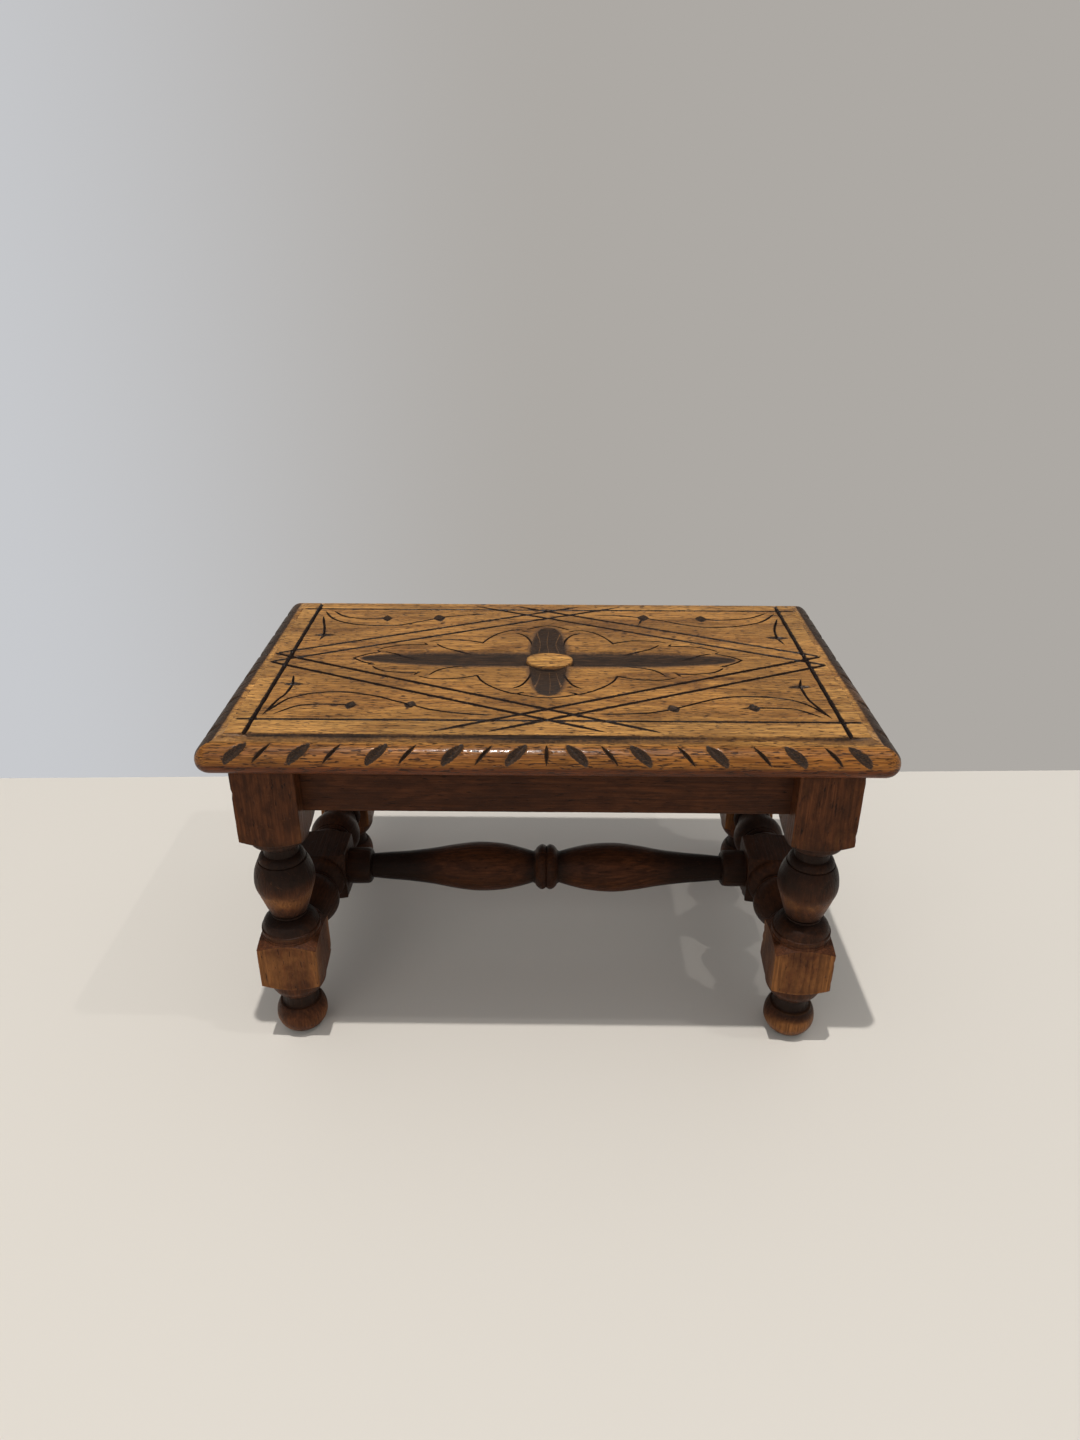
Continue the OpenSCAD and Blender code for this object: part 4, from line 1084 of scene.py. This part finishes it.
class Paint:
    # a new material: its tree, its shader, and the place on the piece, in millimetres and turned so that the
    # grain runs along Z
    def __init__(self, name, axis="z"):
        self.material = bpy.data.materials.new(name)
        self.tree = newTree(self.material)
        self.out = addNode(self.tree, "OutputMaterial").inputs[0]
        self.shader = addNode(self.tree, "BsdfPrincipled")
        self.tree.links.new(self.shader.outputs[0], self.out)
        self.object = source(self.tree, "TexCoord", "Object")
        self.place = self.object.vector("MULTIPLY", (1000, 1000, 1000))
        if axis != "z":
            parts = wiresOf(addNode(self.tree, "SeparateXYZ", {0: self.place}))
            order = {"x": "YZX", "y": "ZXY"}[axis]
            self.place = self.place.made(0, "CombineXYZ", {k: parts[order[k]] for k in range(3)})

    def group(self, group, **inputs):
        return wiresOf(addNode(self.tree, "Group", inputs, node_tree=group))

    def mark(self, name):
        return source(self.tree, "Attribute", "Fac", attribute_name=name, attribute_type="GEOMETRY")

    def finish(self, colour, height, relief, others):
        # colour, a bump of this height, and other inputs of the shader
        bump = height.made(0, "Bump", {"Strength": 1.0, "Distance": relief, "Height": height})
        fill(self.shader, {"Base Color": colour, "Normal": bump, **others})
        return self.material


oakLook = {
    "light": fromScreen(202, 147, 78), "deep": fromScreen(108, 62, 26), "pore": fromScreen(48, 26, 12),
    "thumb": fromScreen(156, 100, 42), "lowBand": fromScreen(96, 48, 18), "stain": fromScreen(45, 35, 28),
    # near-black stain with painted shade, for the bottoms of the carved lines
    "ink": fromScreen(34, 21, 14), "stainThin": fromScreen(96, 67, 44),
    "wash": (0.86, 0.81, 0.74, 1.0), "rubbed": (1.38, 1.40, 1.30, 1.0),  # tints of the ground and the boss
    "pith": (10.0, -330.0, 0.0), "ring": 5.2, "pores": 0.95,
    "rings": 0.5, "streaks": 0.58, "edgeStreaks": 0.6, "openPores": 0.90,  # how strongly each shows
    "patches": (0.78, 1.12), "fibres": (0.56, 1.35),  # darkest and lightest
    "roughStain": 0.5, "fibreStain": 0.35, "roughInkAndShade": 0.45,  # how ragged stain and the ink with its painted shade are
    "thinFrom": (0.10, 0.42), "thinShare": 0.75, "fullFrom": (0.36, 0.66), "inkAndShadeFrom": (0.32, 0.50),
    "roughness": 0.30, "shine": 0.20, "polish": 0.70, "coatRoughness": 0.18, "relief": 0.00022,
}


def oakMaterial():
    # golden oak under the carving's stain and its ink, which holds painted shade in the grooves' bottoms,
    # with a polish that pores and streaks break
    look = oakLook
    paint = Paint("oakTop", "x")
    place = paint.place
    grain = paint.group(woodGrain, Place=place, Pith=look["pith"], Ring=look["ring"], Pores=look["pores"])
    tone, stain, ink, wash, shine = (paint.mark(name) for name in ("tone", "stain", "ink", "wash", "polish"))
    rough, fibre = place.noise((0.55, 0.55, 0.55), 4, 0.6), place.noise((2.4, 2.4, 0.07), 3, 0.6)
    colour = (grain["Rings"] * look["rings"]).between(look["light"], look["deep"])
    colour = (grain["Streaks"] * look["streaks"]).between(colour, look["deep"])
    edge = tone.ramp(0.34, 0.8).between(look["thumb"], look["lowBand"])
    edge = (grain["Streaks"] * look["edgeStreaks"]).between(edge, look["lowBand"])
    colour = tone.ramp(0.0, 0.36).between(colour, edge)
    patches = grain["Patches"].ramp(0.0, 1.0, *look["patches"])
    colour = colour.tinted(patches * fibre.ramp(0.34, 0.66, *look["fibres"]))
    colour = wash.ramp(0.0, 1.0).between(colour, colour.tinted(look["wash"]))
    colour = wash.ramp(0.0, -0.5).between(colour, colour.tinted(look["rubbed"]))
    colour = (grain["Pores"] * look["openPores"]).between(colour, look["pore"])
    share = stain + rough.around(look["roughStain"]) + fibre.around(look["fibreStain"])
    full = share.ramp(*look["fullFrom"])
    colour = (share.ramp(*look["thinFrom"]) * look["thinShare"]).between(colour, look["stainThin"])
    dark = fibre.ramp(0.42, 0.72, 0.0, 0.75).between(look["stain"], look["stainThin"])
    colour = full.between(colour, dark)
    # the ink: the bottoms of the carved lines are painted near black, stain with painted shade
    colour = (ink + rough.around(look["roughInkAndShade"])).ramp(*look["inkAndShadeFrom"]).between(colour, look["ink"])
    broken = rough.ramp(0.38, 0.60) * grain["Pores"].ramp(0.0, 0.6, 1.0, 0.15)
    broken = broken * fibre.ramp(0.36, 0.56, 0.25, 1.0)
    height = grain["Streaks"] * -0.25 - grain["Pores"] * 0.8 - grain["Rings"] * 0.35 + rough * 0.35
    return paint.finish(colour, height, look["relief"],
                        {"Roughness": rough * 0.16 + full * 0.14 + look["roughness"],
                         "Specular IOR Level": look["shine"], "Coat Weight": shine * broken * look["polish"],
                         "Coat Roughness": look["coatRoughness"]})


stainLook = {
    "dark": fromScreen(48, 27, 17), "mid": fromScreen(112, 65, 37), "worn": fromScreen(150, 97, 53),
    # the near-black of grime and painted shade, for coves and the parts under the top
    "grimeAndShade": fromScreen(30, 22, 18), "pore": fromScreen(22, 13, 9),
    "mottle": 0.6, "rings": 0.42, "streaks": 0.58, "openPores": 0.7, "grimeAndShadeShare": 0.92, "scratches": 0.10,
    "roughness": 0.30, "shine": 0.08, "relief": 0.00016,
}


def stainedMaterial(name, axis, pith, ring, pores, amount, depth):
    # dark stain over wood, worn through to amount, and deeper by depth; for the pieces under the top the
    # depth also holds painted shade
    look = stainLook
    paint = Paint(name, axis)
    grain = paint.group(woodGrain, Place=paint.place, Pith=pith, Ring=ring, Pores=pores)
    wear = paint.group(handledWear, Place=paint.place, Mark=paint.mark("worn"), Streaks=grain["Streaks"],
                       Amount=amount)
    mottle = paint.place.noise((0.22, 0.22, 0.09), 5, 0.65).ramp(0.42, 0.64, 0.0, look["mottle"])
    colour = grain["Patches"].ramp(0.1, 0.9, 0.95 - depth, 1.25 - depth).between(look["dark"], look["mid"])
    for share, layer in (
            (mottle, "dark"), (wear["Worn"], "worn"), (grain["Rings"] * look["rings"], "dark"),
            (grain["Streaks"] * look["streaks"], "dark"), (grain["Pores"] * look["openPores"], "pore"),
            # grime and painted shade, darkening the coves and the pieces under the top
            (paint.mark("grimeAndShade") * look["grimeAndShadeShare"], "grimeAndShade"),
            (wear["Scratches"] * look["scratches"], "worn")):
        colour = share.between(colour, look[layer])
    height = grain["Streaks"] * -0.4 - grain["Pores"] - grain["Rings"] * 0.3
    return paint.finish(colour, height, look["relief"],
                        {"Roughness": grain["Patches"] * 0.12 + grain["Streaks"] * 0.10 + look["roughness"],
                         "Specular IOR Level": look["shine"]})


plainLook = {
    "light": fromScreen(176, 142, 98), "ring": fromScreen(136, 98, 60), "dust": fromScreen(108, 84, 60),
    "roughness": 0.75, "relief": 0.0002,
}


def plainWoodMaterial():
    # unfinished softwood of the glue blocks, with a little dust
    look = plainLook
    paint = Paint("softwood", "x")
    grain = paint.group(woodGrain, Place=paint.place, Pith=(20, 90, 0), Ring=3.0, Pores=0.1)
    colour = (grain["Rings"] * 0.6).between(look["light"], look["ring"])
    colour = (grain["Patches"] * 0.35).between(colour, look["dust"])
    return paint.finish(colour, grain["Streaks"], look["relief"], {"Roughness": look["roughness"]})


zincLook = {"light": fromScreen(150, 148, 142), "dark": fromScreen(96, 88, 78), "roughness": (0.38, 0.6)}


def zincMaterial():
    # dulled zinc with darker blotches
    look = zincLook
    paint = Paint("dullZinc")
    blotch = paint.place.noise((0.6, 0.6, 0.6), 4, 0.6).ramp(0.35, 0.7)
    fill(paint.shader, {"Base Color": blotch.between(look["light"], look["dark"]), "Metallic": 1.0,
                        "Roughness": blotch.ramp(0, 1, *look["roughness"])})
    return paint.material


def dress(piece, material):
    piece.data.materials.clear()
    piece.data.materials.append(material)


# For each stained piece: axis of the grain, place of the pith, width of a ring, pores, wear, depth of stain.
# The deeper stain of the rails and stretchers, which stand in the top's shade, is partly painted shade.
grainSpots = {
    "legFrontLeft": ("z", (-104, -20, 0), 2.7, 0.42, 1.0, 0.32),
    "legFrontRight": ("z", (196, -150, 0), 3.1, 0.42, 1.1, 0.42),
    "legBackLeft": ("z", (-90, 150, 0), 2.6, 0.4, 0.7, 0.5),
    "legBackRight": ("z", (90, 40, 0), 3.0, 0.4, 0.7, 0.5),
    "stretcherLeft": ("y", (110, -190, 0), 2.8, 0.4, 0.75, 0.6),
    "stretcherRight": ("y", (10, 200, 0), 2.6, 0.4, 0.75, 0.6),
    "stretcherCentre": ("x", (-60, 120, 0), 2.5, 0.4, 0.8, 0.55),
    "railFront": ("x", (-160, 60, 0), 3.3, 0.45, 0.6, 0.75),
    "railBack": ("x", (170, 260, 0), 3.1, 0.45, 0.6, 0.75),
    "railLeft": ("y", (250, -60, 0), 3.0, 0.45, 0.6, 0.75),
    "railRight": ("y", (60, 40, 0), 3.2, 0.45, 0.6, 0.75),
}
dress(top, oakMaterial())
for name, spot in grainSpots.items():
    dress(stained[name], stainedMaterial("stain_" + name, *spot))
softwood, zinc = plainWoodMaterial(), zincMaterial()
for node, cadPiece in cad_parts.items():
    if node.startswith("glue_block"):
        dress(cadPiece, softwood)
    elif node == "top_screws":
        dress(cadPiece, zinc)
print("materials made")


cameraView = {
    "place": (0.9, -532.1, 427.6), "pitch": 26.62, "yaw": -0.56, "roll": -0.155,  # millimetres and degrees
    "focal": 989.9 / 1080,  # as a share of the picture's width
}

stageLook = {
    "floor": fromScreen(224, 216, 204), "floorReach": 9.0,
    # wallLeft is painted light: the lighter left side of the backdrop
    "wall": fromScreen(173, 169, 164), "wallLeft": fromScreen(200, 202, 206), "wallHeight": 5.0,
    "wallLine": 0.216,  # place of the grey backdrop, behind the stool
    "lamps": {"key": ((-0.17, -0.47, 3.1), 0.05, 50.0), "side": ((1.42, -0.52, 2.9), 0.04, 6.5),
              "front": ((-0.9, -1.9, 1.5), 1.6, 6.0)},  # place, size and power
    "aim": (0, 0, 0.1),
    "air": 0.42, "airColour": (0.97, 1.0, 1.05, 1),  # light from all round
    "mirrored": (0.42, 0.10), "mirroredColour": (1.0, 0.98, 0.95, 1),  # what glossy rays meet, low and high
    "farGlow": 0.58,
}


def stagePlane(name, corners, material):
    mesh = bpy.data.meshes.new(name)
    mesh.from_pydata(corners, [], [(0, 1, 2, 3)])
    mesh.materials.append(material)
    made = newObject(name, mesh)


def shaderMix(tree, share, first, second):
    return addNode(tree, "MixShader", {0: share, 1: Wire(first.outputs[0]), 2: Wire(second.outputs[0])})


def floorPiece():
    # a large sheet of pale floor, which the camera sees through from below; far off it glows a little, which
    # makes up for the lamps' fall, so that it stays as pale as near the stool
    look, reach = stageLook, stageLook["floorReach"]
    paint = Paint("floorPaint")
    under = (*look["lamps"]["key"][0][:2], 0)
    glow = paint.object.vector("DISTANCE", under, out=1).ramp(0.6, 4.0) * look["farGlow"]
    glow = glow.between((0, 0, 0, 1), look["floor"])
    fill(paint.shader, {"Base Color": look["floor"], "Specular IOR Level": 0.0, "Roughness": 0.75,
                        "Emission Color": glow, "Emission Strength": 1.0})
    back = source(paint.tree, "NewGeometry", "Backfacing")
    hidden = back * source(paint.tree, "LightPath", "Is Camera Ray")
    blend = shaderMix(paint.tree, hidden, paint.shader, addNode(paint.tree, "BsdfTransparent"))
    paint.tree.links.new(blend.outputs[0], paint.out)
    corners = [(-reach, -reach, 0), (reach, -reach, 0), (reach, reach, 0), (-reach, reach, 0)]
    stagePlane("floor", corners, paint.material)


def backdropPiece():
    # an upright grey sheet that glows, with painted light making it lighter to the left; only camera rays
    # meet it, and only on its front
    look, reach, top = stageLook, stageLook["floorReach"], stageLook["wallHeight"]
    material = bpy.data.materials.new("backdropPaper")
    tree = newTree(material)
    across = source(tree, "SeparateXYZ", "X", {0: source(tree, "TexCoord", "Object")})
    colour = across.ramp(-0.46, 0.02).between(look["wallLeft"], look["wall"])
    paper = addNode(tree, "Emission", {"Color": colour})
    front = 1.0 - source(tree, "NewGeometry", "Backfacing")
    shown = front * source(tree, "LightPath", "Is Camera Ray")
    blend = shaderMix(tree, shown, addNode(tree, "BsdfTransparent"), paper)
    tree.links.new(blend.outputs[0], addNode(tree, "OutputMaterial").inputs[0])
    low, high = look["wallLine"] - 0.03 * reach, look["wallLine"] + 0.03 * reach
    corners = [(-reach, low, 0), (reach, high, 0), (reach, high, top), (-reach, low, top)]
    stagePlane("backdrop", corners, material)


def lamp(name, place, size, power):
    data = bpy.data.lights.new(name, "AREA")
    data.shape, data.size, data.energy = "DISK", size, power
    made = newObject(name, data)
    made.location = place
    made.rotation_euler = (Vector(stageLook["aim"]) - Vector(place)).to_track_quat("-Z", "Y").to_euler()


def softAir():
    # light from all round; glossy rays meet a darker sky, and the camera sees the wall's grey
    look = stageLook
    world = bpy.data.worlds.new("softAir")
    bpy.context.scene.world = world
    tree = newTree(world)
    path = wiresOf(addNode(tree, "LightPath"))
    rise = source(tree, "SeparateXYZ", "Z", {0: source(tree, "TexCoord", "Generated")})
    lit = addNode(tree, "Background", {"Color": look["airColour"], "Strength": look["air"]})
    glossy = addNode(tree, "Background", {"Color": look["mirroredColour"],
                                          "Strength": rise.ramp(0.12, 0.42, *look["mirrored"])})
    seen = addNode(tree, "Background", {"Color": look["wall"], "Strength": 1.0})
    blend = shaderMix(tree, path["Is Camera Ray"], shaderMix(tree, path["Is Glossy Ray"], lit, glossy), seen)
    tree.links.new(blend.outputs[0], addNode(tree, "OutputWorld").inputs[0])


def photoCamera():
    # the photograph's view: pitch below the horizon, yaw from +Y and roll about the view
    c = cameraView
    pitch, yaw, roll = (math.radians(c[k]) for k in ("pitch", "yaw", "roll"))
    forward = Vector((math.sin(yaw) * math.cos(pitch), math.cos(yaw) * math.cos(pitch), -math.sin(pitch)))
    right = Vector((math.cos(yaw), -math.sin(yaw), 0))
    down = forward.cross(right)
    x = right * math.cos(roll) + down * math.sin(roll)
    y = right * math.sin(roll) - down * math.cos(roll)
    data = bpy.data.cameras.new("camera")
    data.sensor_fit, data.sensor_width, data.lens = "HORIZONTAL", 36.0, 36.0 * c["focal"]
    data.clip_start, data.clip_end = 0.02, 50
    made = newObject("camera", data)
    turn = Matrix((x, y, -forward)).transposed()
    made.matrix_world = Matrix.Translation(Vector(c["place"]) * mm) @ turn.to_4x4()
    bpy.context.scene.camera = made


floorPiece()
backdropPiece()
for name, (place, size, power) in stageLook["lamps"].items():
    lamp(name, place, size, power)
softAir()
bpy.context.scene.view_settings.view_transform = "Standard"
photoCamera()
print("stage, light and camera set")
